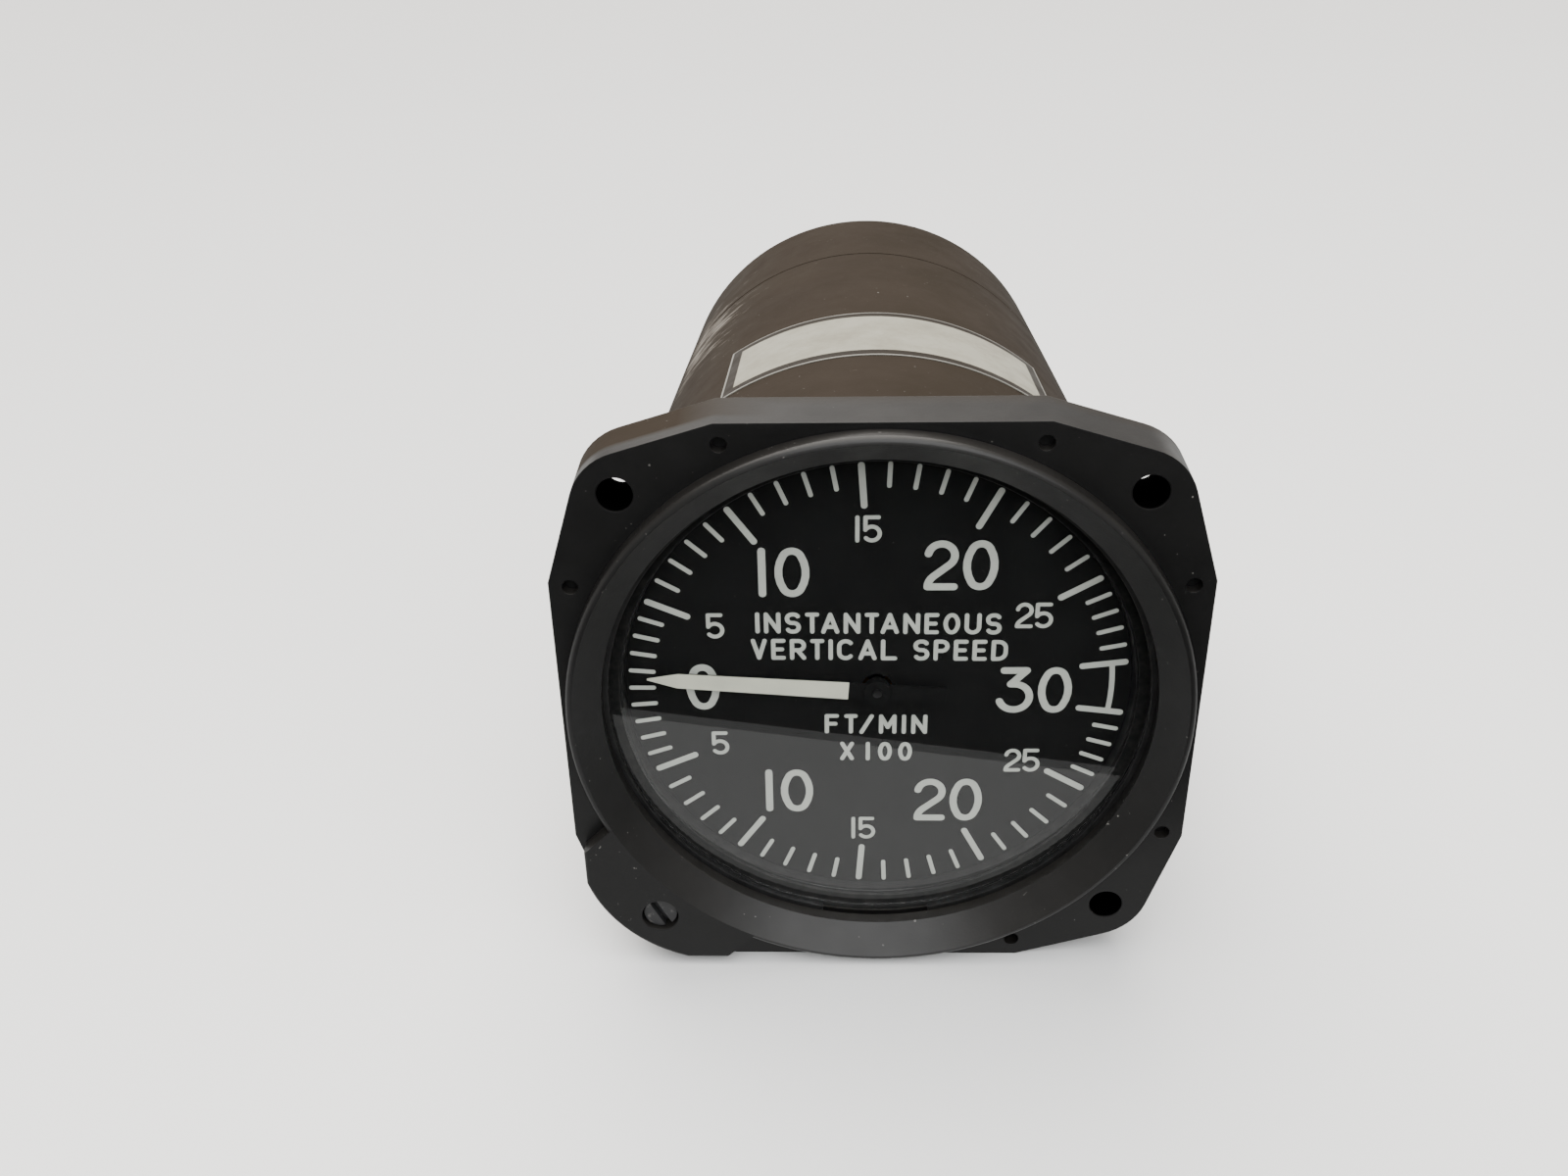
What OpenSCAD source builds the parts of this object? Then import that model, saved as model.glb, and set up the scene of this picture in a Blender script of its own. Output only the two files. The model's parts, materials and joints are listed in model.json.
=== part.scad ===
// Instantaneous vertical speed indicator for a 3-1/8 inch panel hole, millimetres.
// The origin is on the dial axis, in the plane where the flange meets the back of the panel.
// X is to the right and Z up as the pilot sees it, and Y runs into the panel along the case.

/* [Front flange] */
// Width of the flange across its flat sides
flange_w = 81.0; // [80.4:0.1:84]
// Thickness of the flange
flange_t = 8.0; // [7:0.1:9.5]
// Length of the straight middle part of each side
flat_w = 39.0; // [36:0.5:42]
// Angle by which each side falls away towards the corner
side_slope = 17.2; // [15:0.1:19]
// Radius of the four outer corners
corner_r = 8.0; // [6:0.5:9]
// Distance between neighbouring mounting holes
hole_pitch = 62.87; // [62:0.01:63.6]
// Diameter of the three mounting holes
hole_d = 4.3; // [3.6:0.1:4.8]
// Diameter of the small blind holes in the flange face
dimple_d = 2.0; // [1.2:0.1:2.4]
// Depth of the small blind holes
dimple_depth = 1.5; // [1:0.1:4]
// Distance of the small holes from the middle of their side
dimple_along = 18.9; // [17:0.1:20]
// Distance of the small holes from the edge of the flange
dimple_in = 2.7; // [2:0.1:3]

/* [Raised ring] */
// Outer diameter of the ring that fills the panel hole
ring_d = 79.4; // [78.8:0.1:80]
// Height of the ring in front of the flange face
ring_h = 2.6; // [2:0.1:3.2]
// Radius of the rounded outer edge of the ring
ring_round = 0.9; // [0.5:0.1:1.2]
// Width from the outside of the ring to the window bore
ring_wall = 4.2; // [3.9:0.1:4.5]
// Distance of the pad's flat sides inside the sides of the flange
pad_in = 1.3; // [0.7:0.1:1.9]
// Width of the pad across the diagonal
pad_w = 26.0; // [22:0.5:28]
// Radius of the rounded end of the pad
pad_r = 19.5; // [17:0.5:21]
// Distance from the adjusting screw to the far end of the pad
pad_end = 5.3; // [4.6:0.1:5.6]

/* [Case] */
// Thickness of the case wall round the window bore, behind the flange
body_wall = 3.05; // [2.6:0.05:3.6]
// Loss of radius for each millimetre of length
taper = 0.0625; // [0.04:0.0005:0.07]
// Room between the rear plate of the movement and the cover's spigot
rear_room = 2.4; // [1.4:0.1:8]
// Bevel on both edges of the seam
seam_bevel = 0.3; // [0.2:0.05:0.5]
// Thickness of the case wall round the cover's spigot
rear_wall = 2.63; // [2.3:0.01:3]
// Length of the straight seat for the spigot
seat_len = 9.6; // [9:0.1:11]

/* [Window stack] */
// Depth of the ledge that carries the dial
dial_depth = 8.0; // [7.6:0.1:8.4]
// Thickness of the dial
dial_t = 0.8; // [0.6:0.1:1]
// Height of the sloped ring between the glass gasket and the dial
glare_h = 1.6; // [1.4:0.1:1.8]
// Width of the sloped ring at the dial
glare_w = 2.3; // [2:0.1:2.8]
// Slope of the ring's inner edge, as a difference of radius
glare_slope = 0.3; // [0.2:0.1:0.6]
// Thickness of the glass gasket
gasket_t = 0.5; // [0.3:0.1:0.7]
// Width of the glass gasket
gasket_w = 1.7; // [1.2:0.1:2]
// Thickness of the glass
glass_t = 2.0; // [1.6:0.1:2.2]
// Thickness of the snap ring in front of the glass
snap_t = 0.8; // [0.6:0.1:0.9]
// Depth of the snap ring groove in the bore
snap_groove = 0.7; // [0.5:0.1:0.9]
// Width of the snap ring that shows inside the bore
snap_show = 0.7; // [0.5:0.1:1]
// Opening of the snap rings, in degrees
snap_gap = 24; // [12:2:40]

/* [Dial] */
// Distance from the sloped ring to the outer ends of the marks
mark_edge = 0.4; // [0.2:0.1:1.5]
// Length of the small marks
minor_len = 3.53; // [2.5:0.01:4.5]
// Length of the large marks
major_len = 6.29; // [5:0.01:8]
// Width of the small marks
minor_w = 0.6; // [0.4:0.05:0.9]
// Width of the large marks
major_w = 0.85; // [0.6:0.05:1.2]
// Thickness of the marks on the dial
mark_t = 0.1; // [0.05:0.01:0.2]
// Distance from the outer ends of the marks to the arc that joins the two marks of thirty
bracket_in = 2.1; // [1:0.1:3]
// Width of that arc
bracket_w = 0.7; // [0.4:0.1:1]
// Diameter of the hole for the pointer staff
dial_hole_d = 4.0; // [3:0.1:5]

/* [Pointer] */
// Distance from the outer ends of the marks to the pointer's tip
pointer_short = 2.5; // [1:0.1:5]
// Distance from the dial axis to the square end of the light part
pointer_start = 3.75; // [3:0.05:6]
// Width of the pointer near its tip
pointer_w_tip = 2.2; // [1.6:0.1:2.6]
// Width of the pointer near the hub
pointer_w_hub = 2.6; // [2:0.1:3.2]
// Length of the tapered tip
pointer_tip_len = 4.0; // [3:0.5:7]
// Length of the dark tail behind the hub
pointer_tail = 9.0; // [6:0.5:14]
// Thickness of the pointer blade
blade_t = 0.3; // [0.2:0.05:0.4]
// Thickness of the light coat on the blade
coat_t = 0.1; // [0.05:0.05:0.2]
// Clear distance from the dial to the blade
blade_gap = 0.95; // [0.6:0.05:1.05]
// Angle of the pointer above nine o'clock at rest
pointer_rest = 4; // [-20:1:30]

/* [Zero adjuster] */
// Distance of the adjusting screw from the outside of the ring
zero_out = 3.5; // [3.3:0.1:3.8]
// Direction of the screw, counter-clockwise from three o'clock
zero_a = 226.9; // [224:0.1:228]
// Tooth size (module) of the adjusting pinion
zero_mod = 0.8; // [0.7:0.05:0.85]
// Number of teeth on the adjusting pinion
zero_teeth = 8; // [7:1:8]
// Diameter of the screw head
zero_head_d = 4.6; // [4:0.1:4.8]
// Diameter of the screw shank
zero_shank_d = 3.0; // [2.6:0.1:3.2]
// Width of the screwdriver slot
zero_slot_w = 0.9; // [0.6:0.1:1.1]
// Angle of the slot against the horizontal
zero_slot_a = -63; // [-90:1:90]
// Swing of the movement to each side
zero_swing = 8; // [5:0.5:8.5]
// Half of the angle that the toothed arm takes up
arm_half = 10.8; // [9:0.1:11]
// Thickness of the toothed arm
arm_t = 1.2; // [1:0.1:1.6]
// Room between the toothed arm and the housing's lid
lug_room = 1.4; // [1:0.1:3]
// Width of the screw housing
lug_w = 32.4; // [31.6:0.1:34]
// Distance from the outside of the ring to the flat sides of the screw housing
lug_out = 0.3; // [0:0.1:0.6]
// Thickness of the housing's lid
lid_t = 1.2; // [1:0.1:2]

/* [Movement frame] */
// Depth of the ledge that the front plate bears on
plate_depth = 12.4; // [12:0.1:13.5]
// Thickness of the two plates
plate_t = 1.6; // [1.2:0.1:1.8]
// Step from the window bore to the plate bore
plate_step = 0.6; // [0.5:0.1:0.8]
// Width of the ledge behind the front plate
ledge_w = 0.7; // [0.5:0.1:1]
// Length of the three pillars
pillar_len = 58.6; // [52:0.1:64]
// Diameter of the pillars
pillar_d = 4.0; // [3.4:0.1:4.6]
// Distance from the edge of the rear plate to the pillar axes
pillar_inset = 3.3; // [3:0.1:4]
// Distance from the front plate to the staff bridge
bridge_gap = 8.6; // [8.2:0.1:9]
// Thickness of the staff bridge
bridge_t = 1.5; // [1:0.1:1.8]
// Half of the distance between the bridge posts
bridge_half = 9.0; // [8:0.5:11]
// Distance of the bridge posts below the staff
bridge_drop = 7.0; // [6.5:0.1:7.4]
// Diameter of the bridge posts
post_d = 3.2; // [2.6:0.1:3.8]

/* [Gear train] */
// Tooth size (module) of the pointer gears
fine_mod = 0.4; // [0.36:0.01:0.42]
// Number of teeth on the staff pinion
staff_teeth = 12; // [10:1:14]
// Distance from the staff to the rocking shaft
gear_dist = 21.6; // [20.8:0.1:22.2]
// Half of the angle of the toothed sector
sector_half = 32; // [30:1:34]
// Thickness of the sector
sector_t = 0.8; // [0.6:0.1:1]
// Width of the sector rim under the teeth
sector_rim = 2.4; // [1.8:0.1:3]
// Diameter of the rocking shaft
shaft_d = 1.6; // [1.4:0.1:2]
// Diameter of the pivots
pivot_d = 0.8; // [0.6:0.05:0.9]
// Diameter of the pointer staff
staff_d = 1.2; // [1:0.05:1.4]
// Length of the arm that the capsule link pulls on
cal_arm = 4.0; // [3.6:0.1:4.4]
// Diameter of the pin in the link's eye
link_pin_d = 0.8; // [0.6:0.05:0.9]
// Radius of the balance weight
weight_r = 2.2; // [1.8:0.1:2.6]
// Gap between the balance weight and the case
weight_gap = 1.7; // [1.2:0.1:3]
// Turns of the hairspring
hair_turns = 5; // [4:1:6]
// Width of the hairspring strip
hair_w = 0.2; // [0.15:0.01:0.25]
// Outer radius of the hairspring
hair_r = 5.7; // [5:0.1:6.2]
// Pressure angle of all teeth
tooth_angle = 25; // [22:0.5:26]
// Share of the tooth that is taken off for backlash
tooth_play = 0.12; // [0.08:0.01:0.2]

/* [Capsule] */
// Distance of the capsule's corners inside the ledge of the front plate
cap_margin = 5.13; // [4.6:0.01:8]
// Gap between the capsule and the bridge in front of it
cap_gap = 0.5; // [0.3:0.1:2]
// Gap on each side of the tube that runs up behind the capsule
tube_gap = 1.0; // [0.6:0.1:2]
// Height of each half of the capsule
cap_half = 4.0; // [3.6:0.1:4.2]
// Distance of the capsule's middle below the dial axis
cap_drop = 15.0; // [14.8:0.1:15.6]
// Thickness of the capsule's skin
skin_t = 0.25; // [0.2:0.05:0.4]
// Number of corrugations in each half
cap_waves = 4; // [3:1:5]
// Height of the corrugations
wave_h = 0.3; // [0.2:0.05:0.4]
// Diameter of the capillary to the static port
tube_d = 2.0; // [1.6:0.1:2.2]
// Side of the capsule's mounting block
block_w = 8.0; // [7:0.5:9]
// Diameter of the post on the moving half
post2_d = 3.2; // [2.6:0.1:4]
// Diameter of the link rod
link_d = 0.9; // [0.7:0.1:1.1]

/* [Rear cover] */
// Length of the rear cover behind the seam
cover_len = 24.4; // [23.6:0.1:27]
// Thickness of the rear cover's wall
cover_wall = 2.2; // [1.8:0.1:2.6]
// Thickness of the rear cover's end
end_t = 2.4; // [2:0.1:3]
// Length of the spigot inside the case
spigot_len = 8.6; // [8:0.1:9]
// Thickness of the spigot's wall
spigot_t = 2.5; // [2.2:0.1:3]
// Radius of the rounded rear edge
rear_round = 1.0; // [0.6:0.1:1.4]
// Diameter of the section of the seal ring in the spigot
seal_d = 1.28; // [1:0.01:1.4]
// Diameter of the three cover screws
screw_d = 2.0; // [1.6:0.1:2.4]
// Distance from the seam to the cover screws
screw_back = 3.1; // [2.9:0.1:3.3]

/* [Pressure parts] */
// Radius of the threaded hole in the static port, 1/8-27 pipe thread
port_thread_r = 4.37; // [4.2:0.01:4.5]
// Width across the flats of the port
port_af = 14.0; // [13:0.5:16]
// Length of the port outside the case
port_len = 10.0; // [9:0.5:12]
// Diameter of the port's stem
stem_d = 11.0; // [10:0.5:12]
// Width of the manifold block
manifold_w = 16.0; // [15:0.5:18]
// Length of the manifold block
manifold_len = 21.6; // [20:0.1:22]
// Diameter of the restrictor on the manifold
restrictor_d = 4.8; // [4:0.1:6]
// Height of the restrictor
restrictor_h = 12.0; // [10:0.5:14]
// Outer diameter of the acceleration pumps
pump_d = 12.0; // [11:0.5:13]
// Height of the acceleration pumps
pump_h = 28.0; // [26:0.5:30]
// Diameter of the pump pistons
piston_d = 9.6; // [8.6:0.1:9.8]
// Height of the pump pistons
piston_h = 8.0; // [7:0.5:9]
// Thickness of the pumps' floors and lids
pump_floor = 2.0; // [1.6:0.1:2.4]
// Wire diameter of the pump springs
spring_wire = 0.5; // [0.3:0.05:0.55]
// Turns of the pump springs
spring_turns = 5; // [4:1:5]

/* [Blank plate] */
// Distance from the panel plane to the near edge of the plate on the case
label_y0 = 29.3; // [24:0.1:32]
// Length of the plate along the case
label_len = 19.5; // [16:0.1:24]
// Angle from the top to the plate's left edge
label_left = 34; // [26:1:40]
// Angle from the top to the plate's right edge
label_right = 40.6; // [30:0.1:46]
// Thickness of the plate
label_t = 0.15; // [0.1:0.05:0.3]

/* [Clearances] */
// Gap round the glass and the dial
slip = 0.2; // [0.1:0.05:0.3]
// Gap round parts that turn in a bore
run = 0.06; // [0.04:0.01:0.1]
// End play of shafts
play = 0.1; // [0.05:0.05:0.2]
// Gap round the sector in its window
window_gap = 0.3; // [0.2:0.05:0.4]
// Gap between a piston and its bore
piston_gap = 0.1; // [0.06:0.01:0.12]

/* [Hidden] */
$fn = 96;

case_black = [0.10, 0.095, 0.09];
gloss_black = [0.05, 0.05, 0.05];
dial_black = [0.03, 0.03, 0.03];
mark_white = [0.80, 0.82, 0.78];
cream = [0.90, 0.87, 0.76];
brass = [0.78, 0.62, 0.32];
steel = [0.62, 0.63, 0.65];
silver = [0.78, 0.78, 0.76];
bronze = [0.70, 0.50, 0.30];
seal_black = [0.06, 0.06, 0.06];

// Radii and depths that follow from the sizes above
ring_r = ring_d / 2;
flange_half = flange_w / 2;
dimple_out = flange_half - dimple_in;
pad_half = flange_half - pad_in;
bore_r = ring_r - ring_wall;
body_r = bore_r + body_wall;
chamfer_y = -ring_h + (ring_r - ring_round - bore_r);
dial_y = dial_depth - dial_t;
glare_y = dial_y - glare_h;
gasket_y = glare_y - gasket_t;
glass_y = gasket_y - glass_t;
snap_y = glass_y - snap_t;
stack_r = bore_r - slip;
plate_bore_r = bore_r - plate_step;
ledge_r = plate_bore_r - ledge_w;
plate_r = plate_bore_r - run;
plate_y = plate_depth - plate_t;
ring2_y = plate_y - snap_t;
rear_y = plate_depth + pillar_len;
seam_y = rear_y + plate_t + rear_room + spigot_len;
spigot_bore_r = cone_r(seam_y) - rear_wall;
seat_y = seam_y - seat_len;
rear_plate_r = spigot_bore_r - 2 * slip;
pillar_r = rear_plate_r - pillar_inset;
pillar_at = [pillar_r * [cos(150), sin(150)], pillar_r * [cos(30), sin(30)], [0, -pillar_r]];
back_y = seam_y + cover_len;
end_y = back_y - end_t;
screw_y = seam_y - screw_back;
screw_sink = 0.2;
screw_slot_w = 0.4;
screw_slot_depth = 0.7;
screw_top = cone_r(screw_y) - screw_sink;
spigot_r = spigot_bore_r - slip / 2;
seal_y = seam_y - spigot_len + seal_d;

// Radii of the scale and the pointer
mark_outer_r = stack_r - glare_w - mark_edge;
minor_inner_r = mark_outer_r - minor_len;
major_inner_r = mark_outer_r - major_len;
bracket_r = mark_outer_r - bracket_in;
pointer_len = mark_outer_r - pointer_short;

// Adjusting gear: the pinion sits on the screw and the arm reaches the rest of the way
zero_r = ring_r + zero_out;
pad_reach = zero_r + pad_end;
zero_pr = zero_mod * zero_teeth / 2;
arm_pr = zero_r - zero_pr;
arm_n = 2 * arm_pr / zero_mod;
zero_at = zero_r * [cos(zero_a), sin(zero_a)];
arm_add = 0.7;
tip_gap = 0.25;
pinion_root_r = zero_pr - (arm_add + tip_gap) * zero_mod;
pocket_gap = 0.4;
pocket_r = arm_pr + arm_add * zero_mod + pocket_gap;
pocket_half = arm_half + zero_swing + 1.7;
pinion_pocket_r = zero_pr + zero_mod + pocket_gap;
lug_y = plate_depth + arm_t + lug_room;
lug_half = ring_r + lug_out;
pocket_y = plate_depth - 2.9;
zero_pinion_t = arm_t + 2 * window_gap;
lid_inset = 0.3;
lid_screw_r = pocket_r + 1.6;
lid_screw_a = 17;
lid_screw_d = 1.4;
head_y = -ring_h + 0.6;
head_floor = 2.6;
head_slot_depth = 1.1;
tip_d = 2.0;
groove_y = 4.5;
groove_len = 1.6;
groove_depth = 0.55;
zero_seal_r = 0.28;
lid_screw_len = 3.6;
thread_room = 0.4;
screw_head_t = 0.8;

// Gear train of the pointer
staff_pr = fine_mod * staff_teeth / 2;
sector_pr = gear_dist - staff_pr;
sector_n = 2 * sector_pr / fine_mod;
shaft_at = [cal_arm, sqrt(gear_dist * gear_dist - cal_arm * cal_arm)];
shaft_dir = atan2(shaft_at[1], shaft_at[0]);
bridge_y = plate_depth + bridge_gap;
gear_back = 4.0;
hair_back = 2.0;
gear_y = bridge_y - gear_back;
hair_y = bridge_y - hair_back;
hair_h = 1.2;
hair_hub_r = staff_d / 2 + 0.8;
spoke_in = 5;
bridge_pts = [[bridge_half, -bridge_drop], [-bridge_half, -bridge_drop], [0, 0]];
bridge_rim = 3.0;
small_screw_d = 1.4;
frame_screw_d = 1.6;
post_thread = 3.0;
pillar_thread = 4.0;
// Windows that lighten the two plates, as [x, z, radius]
front_windows = [[14, -17, 7], [-13, 8, 6], [14, 5, 5], [-10, 23, 5]];
rear_windows = [[-14, -9, 7], [14, -9, 7], [-11, 14, 6]];
blade_y = dial_y - blade_gap - blade_t;
hub_y = blade_y - 0.25;
hub_r = 1.8;
jewel_r = 1.5;

// Capsule and its link: the capsule is as wide as the room round it and along the case allows
cap_front = bridge_y + bridge_t + cap_gap;
tube_y = rear_y - tube_gap - tube_d / 2;
cap_back = tube_y - tube_d / 2 - tube_gap;
cap_side = sqrt(pow(ledge_r - cap_margin, 2) - pow(cap_drop + cap_half, 2));
cap_r = min(cap_side, (cap_back - cap_front) / 2);
cap_y = (cap_front + cap_back) / 2;
cap_z = -cap_drop;
cap_top_z = cap_z + cap_half;
cap_low_z = cap_z - cap_half;
rim_t = 0.4;
cap_rim = 1.5;
post2_h = 3.0;
link_low_z = cap_top_z + 1.0;
eye_r = 1.4;
eye_t = 1.0;
arm_hub_r = 2.2;
weight_y = (gear_y + cap_y) / 2;
weight_arm = room_r(weight_y) - gear_dist - weight_r - weight_gap;
tube_z = cap_low_z - 0.6 - tube_d / 2;

// Parts in the rear cover
manifold_y = end_y - manifold_len;
stem_y = end_y - 7.6;
washer_t = 0.8;
hex_y = back_y + washer_t;
port_y = hex_y + port_len;
thread_len = port_len - 0.4;
passage_d = 3.0;
tube_end_y = manifold_y + 6.0;
tube_seal_y = manifold_y + 2.0;
tube_seal_len = 1.6;
tube_seal_r = tube_d / 2 + 1.2;
pump_x = manifold_w / 2 + 2.0 + pump_d / 2;
pump_y = end_y - 4.6 - pump_d / 2;
pump_bore_r = piston_d / 2 + piston_gap;
spring_len = pump_h / 2 - pump_floor - piston_h / 2;
line_d = 1.8;
line_z = -pump_h / 2 - 1.6 - line_d / 2;
line_x = 4.5;
foot_w = 8.0;
foot_end = 5.0;
pump_lid_t = 1.5;
groove_w = 0.6;
groove_in = 2.0;
groove_sink = 0.4;

// Outer radius of the case at a depth y, and the radius of the room inside it
function cone_r(y) = body_r - taper * (y - flange_t);
function room_r(y) = ledge_r + (spigot_bore_r - ledge_r) * (y - plate_depth) / (seat_y - plate_depth);
function polar(r, a) = [r * cos(a), r * sin(a)];
function turn(p, a) = [p[0] * cos(a) - p[1] * sin(a), p[0] * sin(a) + p[1] * cos(a)];
// Points of a rounded edge, from the front face (k = 0) to the outside (k = 90)
function edge_pts(r, y, e) = [for (k = [0:22.5:90]) [r - e + e * sin(k), y + e - e * cos(k)]];

// Solid of a drawing in X and Z that starts at depth y and is t thick
module slab(y, t) translate([0, y + t, 0]) rotate([90, 0, 0]) linear_extrude(t) children();
// Solid turned about the dial axis from a profile of [radius, depth]
module turned() rotate([-90, 0, 0]) rotate_extrude() children();
// The same from angle a to angle b, clockwise from the top as seen from the front
module turned_part(a, b) rotate([-90, 0, 0]) rotate([0, 0, a - 90]) rotate_extrude(angle = b - a) children();
module rod(at, r, y, y2) translate([at[0], y, at[1]]) rotate([-90, 0, 0]) cylinder(r = r, h = y2 - y);
module at(p) translate([p[0], p[1]]) children();

// Round-ended bar between two points of a drawing
module bar2d(p, q, w) {
    d = q - p;
    at(p) circle(w / 2);
    at(q) circle(w / 2);
    at(p) rotate(atan2(d[1], d[0])) translate([0, -w / 2]) square([norm(d), w]);
}

// Convex outline round a list of points (clockwise), at a distance r from them
module rounded2d(p, r) {
    n = len(p);
    function side(i) = let(d = p[(i + 1) % n] - p[i % n]) atan2(d[1], d[0]) + 90;
    polygon([for (i = [0:n - 1]) let(
        a = side(i + n - 1),
        b = side(i),
        swing = (a - b + 720) % 360)
        each [for (k = [0:6]) p[i] + polar(r, a - swing * k / 6)]]);
}

// Part of a flat ring, centred on angle a
module arc2d(r, r2, a, half, n = 16) polygon(concat(
    [for (i = [0:n]) polar(r2, a - half + 2 * half * i / n)],
    [for (i = [n:-1:0]) polar(r, a - half + 2 * half * i / n)]));

// Teeth: the flank follows the involute above the base circle and runs radially below it
function involute(a) = tan(a) * 180 / PI - a;
function tooth_half(n, m, r) = let(
    base = m * n / 2 * cos(tooth_angle),
    a = r > base ? acos(base / r) : 0)
    90 / n * (1 - tooth_play) + involute(tooth_angle) - involute(a);
function tooth_pts(n, m, low, high, at_a) = let(
    base = m * n / 2 * cos(tooth_angle),
    start = max(base, low),
    radii = concat(low < base ? [low] : [], [for (k = [0:4]) start + (high - start) * k / 4]))
    concat(
        [for (r = radii) polar(r, at_a - tooth_half(n, m, r))],
        [for (i = [len(radii) - 1:-1:0]) polar(radii[i], at_a + tooth_half(n, m, radii[i]))]);

// Full pinion with one tooth space pointing at angle a
module pinion2d(n, m, low, high, a) polygon([
    for (i = [0:n - 1]) each tooth_pts(n, m, low, high, a + 180 / n + i * 360 / n)]);

// Toothed arc with one tooth pointing at angle a, closed by an arc at the inner radius
module toothed_arc2d(n, m, low, high, inner, a, half) {
    step = 360 / n;
    k = floor(half / step);
    polygon(concat(
        [polar(low, a - half)],
        [for (i = [-k:k]) each tooth_pts(n, m, low, high, a + i * step)],
        [polar(low, a + half)],
        [for (i = [8:-1:-8]) polar(inner, a + half * i / 8)]));
}

// Tube of round section along a curve of ring centres, with flat ends
function helix_pt(r, h, n, s) = [r * cos(360 * n * s), r * sin(360 * n * s), h * s];
module coil(r, wire, h, n, sides = 6, per = 12) {
    rings = n * per;
    w = wire / 2;
    pts = [for (i = [0:rings]) for (k = [0:sides - 1]) let(
        s = i / rings,
        a = 360 * n * s,
        c = 360 * k / sides)
        helix_pt(r, h - wire, n, s) + [w * cos(c) * cos(a), w * cos(c) * sin(a), w + w * sin(c)]];
    faces = concat(
        [[for (k = [0:sides - 1]) k]],
        [for (i = [0:rings - 1]) for (k = [0:sides - 1]) let(
            a = i * sides + k,
            b = i * sides + (k + 1) % sides)
            each [[a, a + sides, b], [b, a + sides, b + sides]]],
        [[for (k = [sides - 1:-1:0]) rings * sides + k]]);
    polyhedron(pts, faces);
}

// Outline of half width h, for the flange and the housing: flat sides that fall away to round corners
function corner_pts(h) = let(
    s = tan(side_slope),
    f = flat_w / 2,
    meet = (h + s * f) / (1 + s),
    c = meet - corner_r * cos(45) / cos(45 - side_slope))
    [for (i = [0:8]) [c, c] + polar(corner_r, side_slope + (90 - 2 * side_slope) * i / 8)];
module outline2d(h) {
    quarter = concat([[h, flat_w / 2]], corner_pts(h), [[flat_w / 2, h]]);
    polygon([for (a = [0:90:270]) for (p = quarter) turn(p, a)]);
}

// Pad of the adjusting screw, flush with the ring
module pad2d() intersection() {
    square(2 * pad_half, center = true);
    rotate(225) translate([pad_r / 2, -pad_w / 2]) square([pad_reach, pad_w]);
    at(polar(pad_reach - pad_r, 225)) circle(pad_r);
}

// Housing behind the corner for the pinion and the toothed arm
module lug2d(inset = 0) intersection() {
    outline2d(lug_half - inset);
    rotate(zero_a) translate([ledge_r, inset - lug_w / 2]) square([lug_half, lug_w - 2 * inset]);
}

module case_holes() {
    h = hole_pitch / 2;
    for (p = [[-h, h], [h, h], [h, -h]]) rod(p, hole_d / 2, -1, flange_t + 1);
    for (a = [0:90:270]) for (s = [-1, 1]) {
        p = turn([dimple_out, s * dimple_along], a);
        if (min(p[0], -1) + min(p[1], -1) > -dimple_out - dimple_along + 0.01)
            rod(p, dimple_d / 2, -1, dimple_depth);
    }
}

module screw_room() {
    rod(zero_at, zero_head_d / 2 + 0.15, -ring_h - 1, head_floor);
    rod(zero_at, zero_shank_d / 2 + run, 0, pocket_y + 1);
    rod(zero_at, pinion_pocket_r, pocket_y, lug_y + 1);
    slab(plate_depth - window_gap, arm_t + 2 * window_gap)
        arc2d(ledge_r - 2, pocket_r, zero_a, pocket_half);
    slab(plate_depth - window_gap, lug_y + 1 - plate_depth + window_gap)
        arc2d(cone_r(plate_depth) + 0.3, pocket_r, zero_a, pocket_half);
    for (s = [-1, 1])
        rod(polar(lid_screw_r, zero_a + s * lid_screw_a), lid_screw_d / 2,
            lug_y - lid_screw_len - thread_room, lug_y + 1);
}

module case() color(case_black) difference() {
    union() {
        slab(0, flange_t) outline2d(flange_half);
        turned() polygon(concat(
            [[0, -ring_h]],
            edge_pts(ring_r, -ring_h, ring_round),
            [[ring_r, flange_t / 2], [body_r, flange_t],
             [cone_r(seam_y - seam_bevel), seam_y - seam_bevel],
             [cone_r(seam_y) - seam_bevel, seam_y], [0, seam_y]]));
        slab(-ring_h, ring_h + 1) pad2d();
        slab(flange_t - 1, lug_y - flange_t + 1) lug2d();
    }
    turned() polygon([
        [0, -ring_h - 1], [ring_r - ring_round + 1, -ring_h - 1], [bore_r, chamfer_y],
        [bore_r, snap_y], [bore_r + snap_groove, snap_y],
        [bore_r + snap_groove, glass_y], [bore_r, glass_y],
        [bore_r, dial_depth], [plate_bore_r, dial_depth],
        [plate_bore_r, ring2_y], [plate_bore_r + snap_groove, ring2_y],
        [plate_bore_r + snap_groove, plate_y], [plate_bore_r, plate_y],
        [plate_bore_r, plate_depth], [ledge_r, plate_depth],
        [spigot_bore_r, seat_y], [spigot_bore_r, seam_y + 1], [0, seam_y + 1]]);
    case_holes();
    screw_room();
    cover_screw_set(0);
}

// Three countersunk screws that hold the spigot, on the sides that the panel hides
cover_screw_a = [180, 115, 245];
module cover_screw_set(inner) for (a = cover_screw_a) {
    translate([0, screw_y, 0]) rotate([0, a, 0]) {
        translate([0, 0, spigot_r - spigot_t + inner]) cylinder(d = screw_d, h = spigot_t + rear_wall);
        translate([0, 0, screw_top - screw_d / 2]) cylinder(d1 = screw_d, d2 = 2 * screw_d, h = screw_d / 2);
        if (inner == 0) translate([0, 0, screw_top - 0.01]) cylinder(d = 2 * screw_d, h = screw_d);
    }
}

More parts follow.
